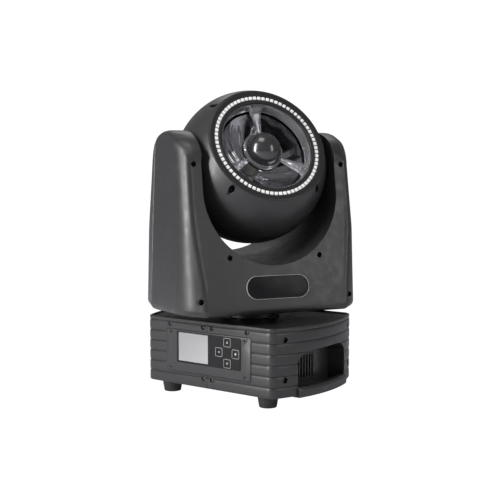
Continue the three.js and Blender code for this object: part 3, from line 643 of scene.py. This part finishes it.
def handle(side):
    """Smooth round-edged grip between two tabs under the casing."""
    reach = POCKET_Y - 0.6
    inner, outer, low, high = 190, 204, 13, 27
    section = rounded_rect(inner, outer, low, high, 4.5, 8)
    end = math.asin(reach / 197)
    loops = []
    for i in range(49):
        a = -end + 2 * end * i / 48
        pull = 0.7 * max(0, 1 - (end - abs(a)) * 197 / 1.2) ** 2
        ring = []
        for r, z in section:
            r = 197 + (r - 197) * (1 - pull / 7)
            z = 20 + (z - 20) * (1 - pull / 7)
            ring.append((SIDE_X + r * math.cos(a), r * math.sin(a), z))
        loops.append(ring)
    tabs = [
        block(90, 112.6, -reach + 0.2, -reach + 13.8, 13.4, 15.3),
        block(90, 112.6, reach - 13.8, reach - 0.2, 13.4, 15.3),
    ]
    shapes = [loft(loops), *tabs]
    if side == "left":
        shapes = [flipped(shape) for shape in shapes]
    obj = raw(f"handle_grip_{side}", shapes, BASE)
    finish_piece(obj, "base", SHELL, [f"handle_{side}"], angle=50)


def grille(side):
    """Upright louvres in a curved frame."""
    y0, y1, z0, z1, slots, slot, depth = -46, 6, 29, 61, 9, 3.4, 1.4
    pitch = (y1 - y0) / slots
    r1, r0 = POCKET_WALL, POCKET_WALL - 3

    def angle(y):
        return math.asin(y / POCKET_WALL)

    ends = angle(y0), angle(y1)
    shapes = [sector(r0, r1, *ends, z0, z0 + 2), sector(r0, r1, *ends, z1 - 2, z1)]
    edges = [y0] + [y0 + (i + 0.5) * pitch + s * slot / 2 for i in range(slots) for s in (-1, 1)] + [y1]
    for i in range(0, len(edges), 2):
        bar = angle(edges[i]), angle(edges[i + 1])
        shapes.append(sector(r1 - 0.2 - depth, r1 - 0.2, *bar, z0 + 2, z1 - 2, 3))
    if side == "left":
        shapes = [flipped(shape) for shape in shapes]
    obj = raw(f"louvres_{side}", shapes, BASE)
    finish_piece(obj, "base", DARK, [f"vent_grille_{side}"])


def foot(name, x, y):
    recess = [(0, 3.4), (3.4, 3.4), (3.4, 0.5), (4.2, 0)]
    side = [(10.1, 0), (10.8, 0.25), (11.1, 0.9), (12.9, 11.6), (13, 12.6), (13, 14.6)]
    profile = [*recess, *side, (12.4, 15.3), (0, 15.3)]
    obj = raw(f"rubber_{name}", [shifted(turned(profile, 72), x=x, y=y)], BASE)
    finish_piece(obj, "base", RUBBER, [name], angle=40)


def top_cover():
    obj = raw("top_deck", [base_slab(3.2, 97, 100)], BASE)
    boolean(obj, "DIFFERENCE", [turned([(NECK_RADIUS + 1.5, 90), (NECK_RADIUS + 1.5, 110)])], BASE)
    finish_piece(obj, "base", DARK, ["base_top_cover"])


LCD = (-47.1, 1.9, 47.6, 84.3)
OVERLAY = (-50.2, 53.8, 45.2, 85.7)
KEY_X, KEY_Z, KEY_OFFSET, KEY_SIZE, KEY_ROUND = 33.3, 65.5, 13.3, 12, 2.2
KEYS = {"key_up": (0, 1), "key_down": (0, -1), "key_back": (-1, 0), "key_enter": (1, 0)}


def key_outline(name, shrink):
    dx, dz = KEYS[name]
    x, z = KEY_X + dx * KEY_OFFSET, KEY_Z + dz * KEY_OFFSET
    half = KEY_SIZE / 2 - shrink
    return rounded_rect(x - half, x + half, z - half, z + half, max(0.3, KEY_ROUND - shrink), 8)


def front_windows(gap):
    lcd = rounded_rect(LCD[0] - gap, LCD[1] + gap, LCD[2] - gap, LCD[3] + gap, 0.5)
    outlines = [lcd] + [key_outline(name, -gap) for name in KEYS]
    return [prism(outline, -100, -70, "y") for outline in outlines]


def display():
    panel = raw("front_panel", [prism(rounded_rect(*PANEL, 3, 10), -89.6, -86.6, "y")], BASE)
    round_edges(panel, 0.5, 2)
    corners = [(sx * 60.5, -89.6, z) for sx in (-1, 1) for z in (83.5, 37.5)]
    wells = [well(c, (0, -1, 0), 2.2, 0.6) for c in corners]
    boolean(panel, "DIFFERENCE", front_windows(0.25) + wells, BASE)
    finish_piece(panel, "base", SHELL, ["display_panel"])
    sheet = raw("front_overlay", [prism(rounded_rect(*OVERLAY, 1.2), -90.45, -89.65, "y")], BASE)
    boolean(sheet, "DIFFERENCE", front_windows(0.12), BASE)
    finish_piece(sheet, "base", MEMBRANE, ["display_overlay"])
    screen = raw("display_glass", [prism(rounded_rect(*LCD, 0.4), -90.2, -86, "y")], BASE)
    finish_piece(screen, "base", SCREEN, ["lcd_screen"])
    screws = [screw_head((x, y + 0.6, z), (0, -1, 0), 1.7) for x, y, z in corners]
    finish_piece(raw("panel_screws", screws, BASE), "base", SCREW, angle=40)


def band(outer, inner, y0, y1):
    """Flat ring between two outlines in XZ."""
    put = lambda points, y: [(x, y, z) for x, z in points]
    return loft([put(outer, y0), put(inner, y0), put(inner, y1), put(outer, y1)], closed=True)


def key(name):
    cap = raw(f"{name}_cap", [prism(key_outline(name, 0), -90.6, -84.5, "y")], BASE)
    round_edges(cap, 0.35, 3, 50)
    finish_piece(cap, name, MEMBRANE, [name], angle=40)
    dx, dz = KEYS[name]
    x, z = KEY_X + dx * KEY_OFFSET, KEY_Z + dz * KEY_OFFSET
    # The pale ring just inside each cap's edge is a painted highlight where the edge catches light; the
    # arrow and dot marks are print.
    shapes = [band(key_outline(name, 0.35), key_outline(name, 0.85), -90.68, -90.5)]
    if name == "key_enter":
        dots = [(1.5 * math.cos(a), 1.5 * math.sin(a)) for a in (math.pi / 8 * i for i in range(16))]
    else:
        tip = math.atan2(dz, dx)
        dots = [(1.9 * math.cos(tip + a), 1.9 * math.sin(tip + a)) for a in (0, 2.25, -2.25)]
    shapes.append(prism([(x + a, z + b) for a, b in dots], -90.68, -90.5, "y"))
    finish_piece(raw(f"{name}_print_and_edge_highlight", shapes, BASE), name, PRINT_AND_EDGE_HIGHLIGHT)


CONNECTOR_Z = 60
REAR_FACE = 89.9


def rear_round(radius_height, x, segments=64):
    """A (radius, distance out of the rear face) profile turned about a connector's axis."""
    turn = Matrix.Translation((x, REAR_FACE, CONNECTOR_Z)) @ Matrix.Rotation(-math.pi / 2, 4, "X")
    return moved(turned(radius_height, segments), turn)


def rear_block(x0, x1, z0, z1, y0, y1):
    return block(x0, x1, REAR_FACE + y0, REAR_FACE + y1, CONNECTOR_Z + z0, CONNECTOR_Z + z1)


def connector(name, kind, x, radius, slot, material):
    if kind == "fuse":
        cap = [(0, -22), (5.4, -22), (5.4, 0), (7, 0), (7, 2.6), (6.2, 3.9), (0, 3.9)]
        obj = raw(f"{name}_body", [rear_round(cap, x)], BASE)
        boolean(obj, "DIFFERENCE", [rear_block(x - 5, x + 5, -0.7, 0.7, 2.6, 6)], BASE)
        finish_piece(obj, "base", material, [name], angle=40)
        return
    plate = rounded_rect(x - 13, x + 13, CONNECTOR_Z - 15.5, CONNECTOR_Z + 15.5, 2.5)
    flange = prism(plate, REAR_FACE, REAR_FACE + 2.4, "y")
    obj = raw(f"{name}_body", [flange], BASE)
    round_edges(obj, 0.5, 3)
    boolean(obj, "UNION", [rear_round([(0, -20), (radius, -20), (radius, 0.5), (0, 0.5)], x)], BASE)
    well_radius = radius - 2
    pins = [(5.2 * math.cos(math.radians(a)), 5.2 * math.sin(math.radians(a))) for a in (45, 135, 270)]
    if kind == "holes":
        cutters = [shifted(rear_round([(1.6, -10), (1.6, 5)], x, 24), x=px, z=pz) for px, pz in pins]
        boolean(obj, "DIFFERENCE", cutters, BASE)
    else:
        mouth = well_radius + 0.8
        socket = [(well_radius, -12), (well_radius, 1.6), (mouth, 2.4), (mouth, 6)]
        boolean(obj, "DIFFERENCE", [rear_round(socket, x)], BASE)
    if kind == "power":
        core = [rear_round([(0, -12.5), (3, -12.5), (3, -0.6), (2.4, 0), (0, 0)], x, 32)]
        keys = [
            rear_block(x - 1.6, x + 1.6, 7.6, 10.2, -12.5, 0),
            rear_block(x - 9.9, x - 7.8, -1.4, 1.4, -12.5, -1),
        ]
        boolean(obj, "UNION", core + keys, BASE)
    corners = [(x + sx * 10, REAR_FACE + 2.4, CONNECTOR_Z + sz * 12.5) for sx, sz in ((-1, 1), (1, -1))]
    boolean(obj, "DIFFERENCE", [well(c, (0, 1, 0), 1.9, 0.7) for c in corners], BASE)
    finish_piece(obj, "base", material, [name], angle=40)
    if kind == "pins":
        pin = rear_round([(0, -13), (1.1, -13), (1.1, -3), (0.7, -2.3), (0, -2.1)], x, 24)
        shapes = [shifted(pin, x=px, z=pz) for px, pz in pins]
        finish_piece(raw(f"{name}_pins", shapes, BASE), "base", STEEL, angle=40)


def rear_side():
    panel = raw("rear_plate", [prism(rounded_rect(*PANEL, 3, 10), 86.6, 89.6, "y")], BASE)
    cutters = []
    for _, _, x, radius, _, _ in CONNECTORS:
        cutters.append(rear_round([(radius + 0.3, -20), (radius + 0.3, 6)], x))
    boolean(panel, "DIFFERENCE", cutters, BASE)
    finish_piece(panel, "base", BLACK_STEEL, ["rear_panel"])
    spots = []
    for _, _, x, _, _, _ in CONNECTORS[:4]:
        for sx, sz in ((-1, 1), (1, -1)):
            spots.append((x + sx * 10, REAR_FACE + 1.7, CONNECTOR_Z + sz * 12.5))
    spots += [(sx * 65, 89.6, z) for sx in (-1, 1) for z in (83, 37.5)]
    screws = raw("rear_screws", [screw_head(p, (0, 1, 0), 1.6) for p in spots], BASE)
    finish_piece(screws, "base", SCREW, angle=40)


CONNECTORS = [
    ("power_inlet", "power", -50, 12, "blue_plastic", BLUE),
    ("power_outlet", "power", -20, 12, "grey_plastic", PALE),
    ("signal_inlet", "pins", 10, 11, "black_steel", BLACK_STEEL),
    ("signal_outlet", "holes", 40, 11, "black_steel", BLACK_STEEL),
    ("fuse_holder", "fuse", 61, 5.5, "dark_plastic", DARK),
]

for side in ("right", "left"):
    base_shell(side)
    handle(side)
    grille(side)
base_screws()
FEET = {"front_left": (-1, -1), "front_right": (1, -1), "rear_left": (-1, 1), "rear_right": (1, 1)}
for name, (sx, sy) in FEET.items():
    foot(f"foot_{name}", FOOT_X * sx, FOOT_Y * sy)
top_cover()
display()
for name in KEYS:
    key(name)
rear_side()
for plug in CONNECTORS:
    connector(*plug)

# ---- yoke ----
YOKE_BOTTOM, YOKE_TOP, ARCH_START, PROUD, SKIN = 113, 343.4, 300, 4.5, 2.6
U_HALF, U_CENTRE = 93, 266.5
U_RISE, U_FRONT_Y = 0.05, -84
SEAM_Y, SEAM_BULGE, SEAM_GAP, SEAM_BEVEL = 16, 1.6, 0.35, 0.9
PAST_MIDDLE = {"front": -1, "rear": 1}
TILT_Z = TILT_POINT.z / MM
DRAFT = math.radians(7)
FACE_SLOPE = 0.16
YOKE_SCREWS = [(103, 300.2), (62.5, 184.6), (103.2, 132.6)]


def mix(a, b, t):
    return a + (b - a) * t


def blend(t):
    t = min(1.0, max(0.0, t))
    return t * t * (3 - 2 * t)


def along(stops, z):
    """Straight steps between (height, value) stops."""
    for (za, a), (zb, b) in zip(stops, stops[1:]):
        if z <= zb:
            return mix(a, b, max(0, (z - za) / (zb - za)))
    return stops[-1][1]


def arch(z):
    rise = max(0.0, z - ARCH_START) / (YOKE_TOP - ARCH_START)
    return math.sqrt(max(0.0, 1 - rise**2))


def face_depth(z):
    return 89.9 - FACE_SLOPE * (min(z, ARCH_START) - 110.4)


def seam_width(z):
    side = 131.5 - 0.0285 * (min(z, 310) - 113)
    over = z - (YOKE_TOP - 18)
    return side - 18 + math.sqrt(max(0, 18**2 - over**2)) if over > 0 else side


def crease(z):
    """Half width of the sunk face."""
    return along([(113, 94), (153, 94), (165, 96), (200, 99.5), (230, 102.5), (250, 104)], z)


def resample(points, count):
    lengths = [0.0]
    for p, q in zip(points, points[1:]):
        lengths.append(lengths[-1] + math.dist(p, q))
    out, j = [], 0
    for i in range(count + 1):
        want = lengths[-1] * i / count
        while j < len(points) - 2 and lengths[j + 1] < want:
            j += 1
        span = lengths[j + 1] - lengths[j]
        t = (want - lengths[j]) / span if span > 1e-9 else 0
        out.append((mix(points[j][0], points[j + 1][0], t), mix(points[j][1], points[j + 1][1], t)))
    return out


def seam_at(z, side):
    """Where the shells meet, as a distance from the middle toward this shell's own face."""
    return PAST_MIDDLE[side] * min(SEAM_Y, 0.22 * (face_depth(z) + PROUD) * arch(z))


def yoke_outline(z, inset, side):
    """One shell's level section, with its face toward -Y, from seam to seam."""
    half_x = seam_width(z) - inset
    half_y = (face_depth(z) + PROUD) * arch(z) - inset
    fillet = mix(52, 28, min(1, (z - 113) / 107))
    r = min(fillet, 0.75 * half_y)
    corner_y = half_y - r
    corner_x = half_x - corner_y * math.tan(DRAFT) - r / math.cos(DRAFT)
    end_x = corner_x + r * math.cos(DRAFT)

    def outer(x):
        if x <= corner_x:
            return half_y
        return corner_y + math.sqrt(max(0, r * r - (x - corner_x) ** 2))

    wide_x = min(crease(z) + 12, end_x - 3)
    sunk_x = min(crease(z), wide_x - 2)
    sunk = face_depth(z) * arch(z) - inset
    top_fade = blend((z - 302) / 12)
    quarter = []
    for i in range(7):
        x = sunk_x * i / 6
        quarter.append((x, mix(sunk, outer(x), top_fade)))
    for i in range(1, 13):
        t = i / 12
        x = mix(sunk_x, wide_x, t)
        quarter.append((x, mix(sunk, outer(x), max(top_fade, blend(t)))))
    rest = [(wide_x, outer(wide_x))]
    if wide_x < corner_x:
        rest.append((corner_x, half_y))
    start = math.acos(min(1, max(-1, (max(wide_x, corner_x) - corner_x) / r)))
    for i in range(1, 25):
        a = mix(start, DRAFT, i / 24)
        rest.append((corner_x + r * math.cos(a), corner_y + r * math.sin(a)))
    quarter += resample(rest, 14)[1:]
    ex, ey = quarter[-1]
    shrink = min(1, half_y / 20)
    gap, bevel = SEAM_GAP * shrink, SEAM_BEVEL * shrink
    end_x, end_y = half_x + SEAM_BULGE, seam_at(z, side) + gap
    for t in (0.35, 0.7):
        quarter.append((mix(ex, end_x, t), mix(ey, end_y + bevel, t)))
    quarter += [(end_x, end_y + bevel), (end_x - bevel, end_y)]
    right = [(x, -y) for x, y in reversed(quarter)]
    return right + [(-x, -y) for x, y in quarter[1:]]


def yoke_block(side):
    loops = []
    foot_radius = 9
    for i in range(9):
        a = math.pi / 2 * i / 8
        loops.append((YOKE_BOTTOM + foot_radius * (1 - math.cos(a)), foot_radius * (1 - math.sin(a))))
    levels = [mix(YOKE_BOTTOM + foot_radius, 298, i / 26) for i in range(1, 27)]
    levels += [298 + i * 1.75 for i in range(1, 17)]
    levels += [YOKE_TOP - 0.05 - 17.3 * (1 - math.sin(math.pi / 2 * i / 14)) for i in range(1, 15)]
    loops += [(z, 0) for z in levels]
    return loft([[(x, y, z) for x, y in yoke_outline(z, inset, side)] for z, inset in loops])


def yoke_cavity(side):
    levels = [YOKE_BOTTOM + SKIN, 130, 150, 175, 200, 225, 250, 275, 300, 310, 318, 326, 332, 337]
    loops = []
    for z in levels:
        half_x = seam_width(z) - SKIN - 1
        half_y = face_depth(z) * arch(z) - SKIN
        r = min(mix(50, 26, min(1, (z - 113) / 107)), 0.75 * half_y)
        cx, cy = half_x - 5 - r, half_y - r
        loop = [(half_x, 1.0 - seam_at(z, side))]
        for i in range(9):
            a = math.pi / 2 * i / 8
            loop.append((cx + r * math.cos(a), -cy - r * math.sin(a)))
        loops.append([(x, y, z) for x, y in loop] + [(-x, y, z) for x, y in reversed(loop)])
    return loft(loops)


def u_prism(grow, side, depth=130):
    """The opening between the arms; its floor climbs to the rear."""
    r = U_HALF + grow
    points = [(r, YOKE_TOP + 30), (-r, YOKE_TOP + 30)]
    for i in range(73):
        a = math.pi + math.pi * i / 72
        points.append((r * math.cos(a), U_CENTRE + r * math.sin(a)))
    climb = Matrix.Identity(4)
    climb[2][1] = -PAST_MIDDLE[side] * U_RISE
    climb[2][3] = -U_RISE * U_FRONT_Y
    return moved(prism(points, -depth, depth, "y"), climb)


def along_x(profile, z=0.0, segments=64):
    """A (radius, x) profile turned about the tilt axis direction."""
    place = Matrix.Translation((0, 0, z)) @ Matrix.Rotation(math.pi / 2, 4, "Y")
    return moved(turned(profile, segments), place)


def yoke_shell(side):
    shell = raw(f"yoke_half_{side}", [yoke_block(side)], YOKE)
    cavity = raw("cavity", [yoke_cavity(side)], YOKE)
    boolean(cavity, "DIFFERENCE", [u_prism(3, side)], YOKE)
    merge(shell, "DIFFERENCE", cavity)
    cutters = [u_prism(0, side), turned([(NECK_RADIUS + 1, 100), (NECK_RADIUS + 1, 130)])]
    for x0, x1 in ((90, 105), (-105, -90)):
        cutters.append(along_x([(12, x0), (12, x1)], TILT_Z))
    for x, z in YOKE_SCREWS:
        for sign in (1, -1):
            place = frame_at((sign * x, -40, z), (0, -1, 0))
            cutters.append(moved(turned([(3.5, 0), (3.5, 90)], 40), place))
    boolean(shell, "DIFFERENCE", cutters, YOKE)
    if side == "rear":
        turn_round(shell)
    finish_piece(shell, "yoke", SHELL, [f"yoke_{side}_shell"], angle=25)


def turn_round(obj):
    half_turn = Matrix.Rotation(math.pi, 4, "Z")
    obj.data.transform(half_turn)


def yoke_screws(side):
    shapes = []
    for x, z in YOKE_SCREWS:
        depth = face_depth(z) * arch(z) - 0.4
        for sign in (1, -1):
            spot = (sign * x, -depth, z)
            cup = [(5, -14), (5, -2.4), (3.5, -2.4), (3.5, -9), (0, -9), (0, -14)]
            shapes.append(moved(turned(cup, 40), frame_at(spot, (0, -1, 0))))
            shapes.append(screw_head((sign * x, -depth + 9, z), (0, -1, 0), 2.9))
    obj = raw(f"yoke_screws_{side}", shapes, YOKE)
    if side == "rear":
        turn_round(obj)
    finish_piece(obj, "yoke", SCREW, angle=40)


def badge():
    """Plain pill-shaped badge in a bright rim, flat on the face."""
    slope = math.atan(FACE_SLOPE)
    centre = 146.8
    place = YOKE @ Matrix.Translation((0, -face_depth(centre), centre)) @ Matrix.Rotation(-slope, 4, "X")
    face = rounded_rect(-42.6, 42.6, -14.1, 14.1, 13.6, 16)
    plate = raw("badge_plate", [prism(face, -1.55, -0.15, "y")], place)
    round_edges(plate, 0.35, 3)
    finish_piece(plate, "yoke", GLOSS, ["yoke_badge"])
    rim = band(rounded_rect(-43.3, 43.3, -14.75, 14.75, 14.2, 16), face, -1.5, -0.1)
    finish_piece(raw("badge_rim", [rim], place), "yoke", RIM)


def neck():
    profile = [(14, 70.2), (25.4, 70.2), (25.4, 101), (38, 101), (38, 117.7), (14, 117.7)]
    obj = raw("pan_neck", [turned(profile, 128, closed=True)], YOKE)
    finish_piece(obj, "yoke", ANODISED, ["pan_shaft"])


for side in ("front", "rear"):
    yoke_shell(side)
    yoke_screws(side)
badge()
neck()

# ---- head ----
BALL, FLAT, FRONT, BACK, SPLIT, HEAD_SKIN = 100.3, 89, 60.8, -88, -40, 3
RING_RADIUS, LAMPS = 68.8, 72
HEAD_SCREW = 59.2


def half_circle(radius, steps):
    arc = []
    for i in range(steps + 1):
        a = -math.pi / 2 + math.pi * i / steps
        arc.append((radius * math.cos(a), radius * math.sin(a)))
    arc[0], arc[-1] = (0, -radius), (0, radius)
    return arc


def trimmed_ball(name, radius, flat, z0, z1):
    obj = raw(name, [turned(half_circle(radius, 72), 144)], HEAD)
    boolean(obj, "INTERSECT", [block(-flat, flat, -120, 120, z0, z1)], HEAD)
    return obj


def head_shell(side):
    z0, z1 = (SPLIT + 0.15, FRONT) if side == "front" else (BACK, SPLIT - 0.15)
    shell = trimmed_ball(f"head_half_{side}", BALL, FLAT, z0, z1)
    inner_z = (SPLIT - 5, FRONT + 5) if side == "front" else (BACK + HEAD_SKIN, SPLIT + 5)
    inner = trimmed_ball("inner", BALL - HEAD_SKIN, FLAT - HEAD_SKIN, *inner_z)
    merge(shell, "DIFFERENCE", inner)
    cutters = [along_x([(11.8, -120), (11.8, 120)])]
    if side == "front":
        for sx in (1, -1):
            for sy in (1, -1):
                hole = turned([(3.75, 44), (3.75, 75)], 40)
                cutters.append(shifted(hole, x=sx * HEAD_SCREW, y=sy * HEAD_SCREW))
    else:
        for i in range(-3, 4):
            cutters.append(prism(rounded_rect(9 * i - 2, 9 * i + 2, -28, 28, 1.9), -100, -70))
    boolean(shell, "DIFFERENCE", cutters, HEAD)
    finish_piece(shell, "head", SHELL, [f"head_{side}_shell"], angle=25)


def head_screws():
    shapes = []
    surface = math.sqrt(BALL**2 - 2 * HEAD_SCREW**2)
    for sx in (1, -1):
        for sy in (1, -1):
            x, y = sx * HEAD_SCREW, sy * HEAD_SCREW
            rim = surface - 6.5
            cup = [(5, 40), (5, rim), (3.75, rim), (3.75, 47), (0, 47), (0, 40)]
            shapes.append(shifted(turned(cup, 40), x=x, y=y))
            shapes.append(screw_head((x, y, 47), (0, 0, 1), 3.0))
    finish_piece(raw("head_screws", shapes, HEAD), "head", SCREW, angle=40)


def bezel():
    profile = [
        (61.6, 56), (61.6, 60.9), (62.1, 61.4), (65.3, 61.4), (65.6, 61.1), (65.6, 59.2), (72.0, 59.2),
        (72.0, 61.1), (72.3, 61.4), (77.3, 61.4), (78.6, 60.9), (79.2, 59.6), (78.3, 57), (74, 56),
    ]
    obj = raw("bezel", [turned(profile, 180, closed=True)], HEAD)
    finish_piece(obj, "head", DARK, ["bezel_ring"], angle=20)


def lamps():
    """Square lamps all round the ring, each with a raised middle."""
    shapes = []
    for i in range(LAMPS):
        spin = Matrix.Rotation(2 * math.pi * (i + 0.5) / LAMPS, 4, "Z")
        turn = spin @ Matrix.Translation((RING_RADIUS, 0, 0))
        sizes = ((2.15, 59.25), (2.15, 60.7), (1.9, 61.05), (1.3, 61.15))
        loops = []
        for half, z in sizes:
            loops.append([(x, y, z) for x, y in rounded_rect(-half, half, -half, half, 0.35, 2)])
        shapes.append(moved(loft(loops), turn))
    finish_piece(raw("ring_lamps", shapes, HEAD), "head", LAMP, ["light_ring"], angle=20)


def fluted(radius, depth, flutes, z, steps=6):
    count = flutes * steps
    ring = []
    for i in range(count):
        a = 2 * math.pi * i / count
        wave = abs(math.sin(math.pi * i / steps))
        ring.append(((radius - depth * wave) * math.cos(a), (radius - depth * wave) * math.sin(a), z))
    return ring


# Radius, half width and top of a spoke, from the hub out.
SPOKE = ((24.5, 2.4, 49), (32, 2.8, 50.5), (42, 3.8, 52.5), (52, 5.4, 54.5), (58.6, 6.6, 56))


def spider():
    """Clear moulding: fluted outer ring, three roof-shaped spokes and a hub ring."""
    walls = ((61.2, 0.0, 44), (61.2, 0.0, 58.6), (60.0, 0.4, 58.6), (59.4, 0.3, 52), (58.8, 0.3, 44))
    rim = loft([fluted(r, depth, 90, z) for r, depth, z in walls], closed=True)
    hub = turned([(23.5, 43.5), (26.4, 43.5), (26.4, 47.2), (25.6, 48), (23.5, 48)], 96, closed=True)
    shapes = [rim, hub]
    for i in range(3):
        loops = []
        for r, half, top in SPOKE:
            right = [(half, r, 44), (half, r, top - 2), (half * 0.35, r, top)]
            left = [(-x, y, z) for x, y, z in reversed(right)]
            loops.append([left[-1], *right, *left[:-1]])
        shapes.append(moved(loft(loops), Matrix.Rotation(math.radians(120 * i), 4, "Z")))
    obj = raw("clear_spider", shapes, HEAD)
    finish_piece(obj, "head", CLEAR, ["lens_spider"], angle=30)


def centre_ball():
    obj = raw("glossy_ball", [shifted(turned(half_circle(23, 48), 96), z=45.8)], HEAD)
    finish_piece(obj, "head", BALL_GLOSS, ["centre_ball"])
    ring = turned([(23.1, 40.5), (27.2, 40.5), (27.2, 43.2), (23.1, 43.2)], 96, closed=True)
    finish_piece(raw("ball_collar", [ring], HEAD), "head", DARK)


def bowl():
    """Mirror bowl with broad soft lobes."""
    rows, around = 28, 192
    r0, z0, r1, z1 = 13, -3, 55.5, 43
    focal = (r1**2 - r0**2) / (z1 - z0)
    inner, outer = [], []
    for k in range(rows + 1):
        z = mix(z0, z1, (k / rows) ** 1.5)
        r = math.sqrt(r0**2 + focal * (z - z0))
        depth = 1.5 * math.sin(math.pi * min(1, k / rows))
        ring = []
        for i in range(around):
            a = 2 * math.pi * i / around
            rr = r - depth * (0.5 + 0.5 * math.cos(12 * a))
            ring.append((rr * math.cos(a), rr * math.sin(a), z))
        inner.append(ring)
        angles = [2 * math.pi * i / around for i in range(around)]
        outer.append([((r + 1.2) * math.cos(a), (r + 1.2) * math.sin(a), z - 1) for a in angles])
    obj = raw("mirror_bowl", [loft(inner + outer[::-1], closed=True)], HEAD)
    finish_piece(obj, "head", MIRROR, ["reflector"], angle=40)


def led_module():
    plate = prism(rounded_rect(-15, 15, -15, 15, 1.5), -7.7, -6)
    dome = turned([(0, -6.2), (9, -6.2), (9, -4.4), (8, -3.6), (0, -3.5)], 64)
    shapes = [plate, dome]
    finish_piece(raw("lamp_module", shapes, HEAD), "head", LED, ["led_engine"], angle=40)


for side in ("front", "rear"):
    head_shell(side)
head_screws()
bezel()
lamps()
spider()
centre_ball()
bowl()
led_module()

# ---- inner parts keep their CAD shape ----
KEPT = {
    BLACK_STEEL: ["base_bottom_plate"],
    STEEL: ["pan_bridge", "pan_bearing", "yoke_frame", "tilt_bearing_right", "tilt_bearing_left"],
    ALUMINIUM: [
        "power_supply", "pan_large_pulley", "pan_motor_pulley", "tilt_motor_pulley", "tilt_large_pulley",
        "head_chassis", "tilt_axle_right", "tilt_axle_left", "heatsink",
    ],
    MOTOR: ["pan_motor", "tilt_motor"],
    RUBBER: ["pan_belt", "tilt_belt"],
    BOARD: ["control_board", "driver_board"],
    BLACK_BOARD: ["ring_board"],
    DARK: ["fan_frame", "fan_rotor"],
}
for material, names in KEPT.items():
    for name in names:
        mesh = frame["nodes"][name].data
        mesh.materials.clear()
        mesh.materials.append(material)

# ---- floor, lights, world ----
def make_floor():
    bm = bmesh.new()
    bmesh.ops.create_grid(bm, x_segments=2, y_segments=2, size=6)
    mesh = bpy.data.meshes.new("floor")
    bm.to_mesh(mesh)
    bm.free()
    floor = bpy.data.objects.new("floor", mesh)
    bpy.context.scene.collection.objects.link(floor)
    floor.location.z = -0.0002
    s = Shader("floor")
    tone = s.mix(s.noise(3), grey(0.86), grey(0.9))
    matt = s.node("ShaderNodeBsdfDiffuse", Color=tone)
    bright = s.node("ShaderNodeEmission", Color=grey(1.0), Strength=1.08)
    seen = s.node("ShaderNodeLightPath").outputs["Is Camera Ray"]
    share = s.math("MULTIPLY", seen, 0.95)
    blend_node = s.node("ShaderNodeMixShader", _0=share, _1=matt.outputs[0], _2=bright.outputs[0])
    s.tree.links.new(blend_node.outputs[0], s.output.inputs["Surface"])
    mesh.materials.append(s.material)


def softbox(name, azimuth, elevation, distance, width, height, power):
    """An area light aimed at the middle of the light, from a compass direction."""
    data = bpy.data.lights.new(name, "AREA")
    data.shape = "RECTANGLE"
    data.size, data.size_y = width, height
    data.energy = power
    lamp = bpy.data.objects.new(name, data)
    bpy.context.scene.collection.objects.link(lamp)
    a, e = math.radians(azimuth), math.radians(elevation)
    way = Vector((math.sin(a) * math.cos(e), -math.cos(a) * math.cos(e), math.sin(e)))
    lamp.location = Vector((0, 0, 0.22)) + way * distance
    lamp.rotation_euler = (-way).to_track_quat("-Z", "Y").to_euler()


def make_world():
    """White to the camera, dimmer as a light, so the softboxes shape the part."""
    world = bpy.data.worlds.new("studio")
    bpy.context.scene.world = world
    world.use_nodes = True
    tree = world.node_tree
    seen = tree.nodes.new("ShaderNodeLightPath").outputs["Is Camera Ray"]
    power = tree.nodes.new("ShaderNodeMapRange")
    tree.links.new(seen, power.inputs["Value"])
    power.inputs["To Min"].default_value = ROOM_LIGHT
    power.inputs["To Max"].default_value = 1.05
    sky = tree.nodes["Background"]
    sky.inputs["Color"].default_value = grey(1.0)
    tree.links.new(power.outputs[0], sky.inputs["Strength"])


ROOM_LIGHT = 0.26
make_floor()
make_world()
softbox("key", -16, 16, 1.7, 0.2, 1.5, 38)
softbox("side_fill", 95, 15, 1.8, 0.25, 1.0, 5)
softbox("overhead", 10, 72, 1.7, 0.7, 0.7, 6)
softbox("back", 215, 45, 1.8, 1.2, 0.5, 4)

bpy.context.scene.view_settings.view_transform = "Standard"
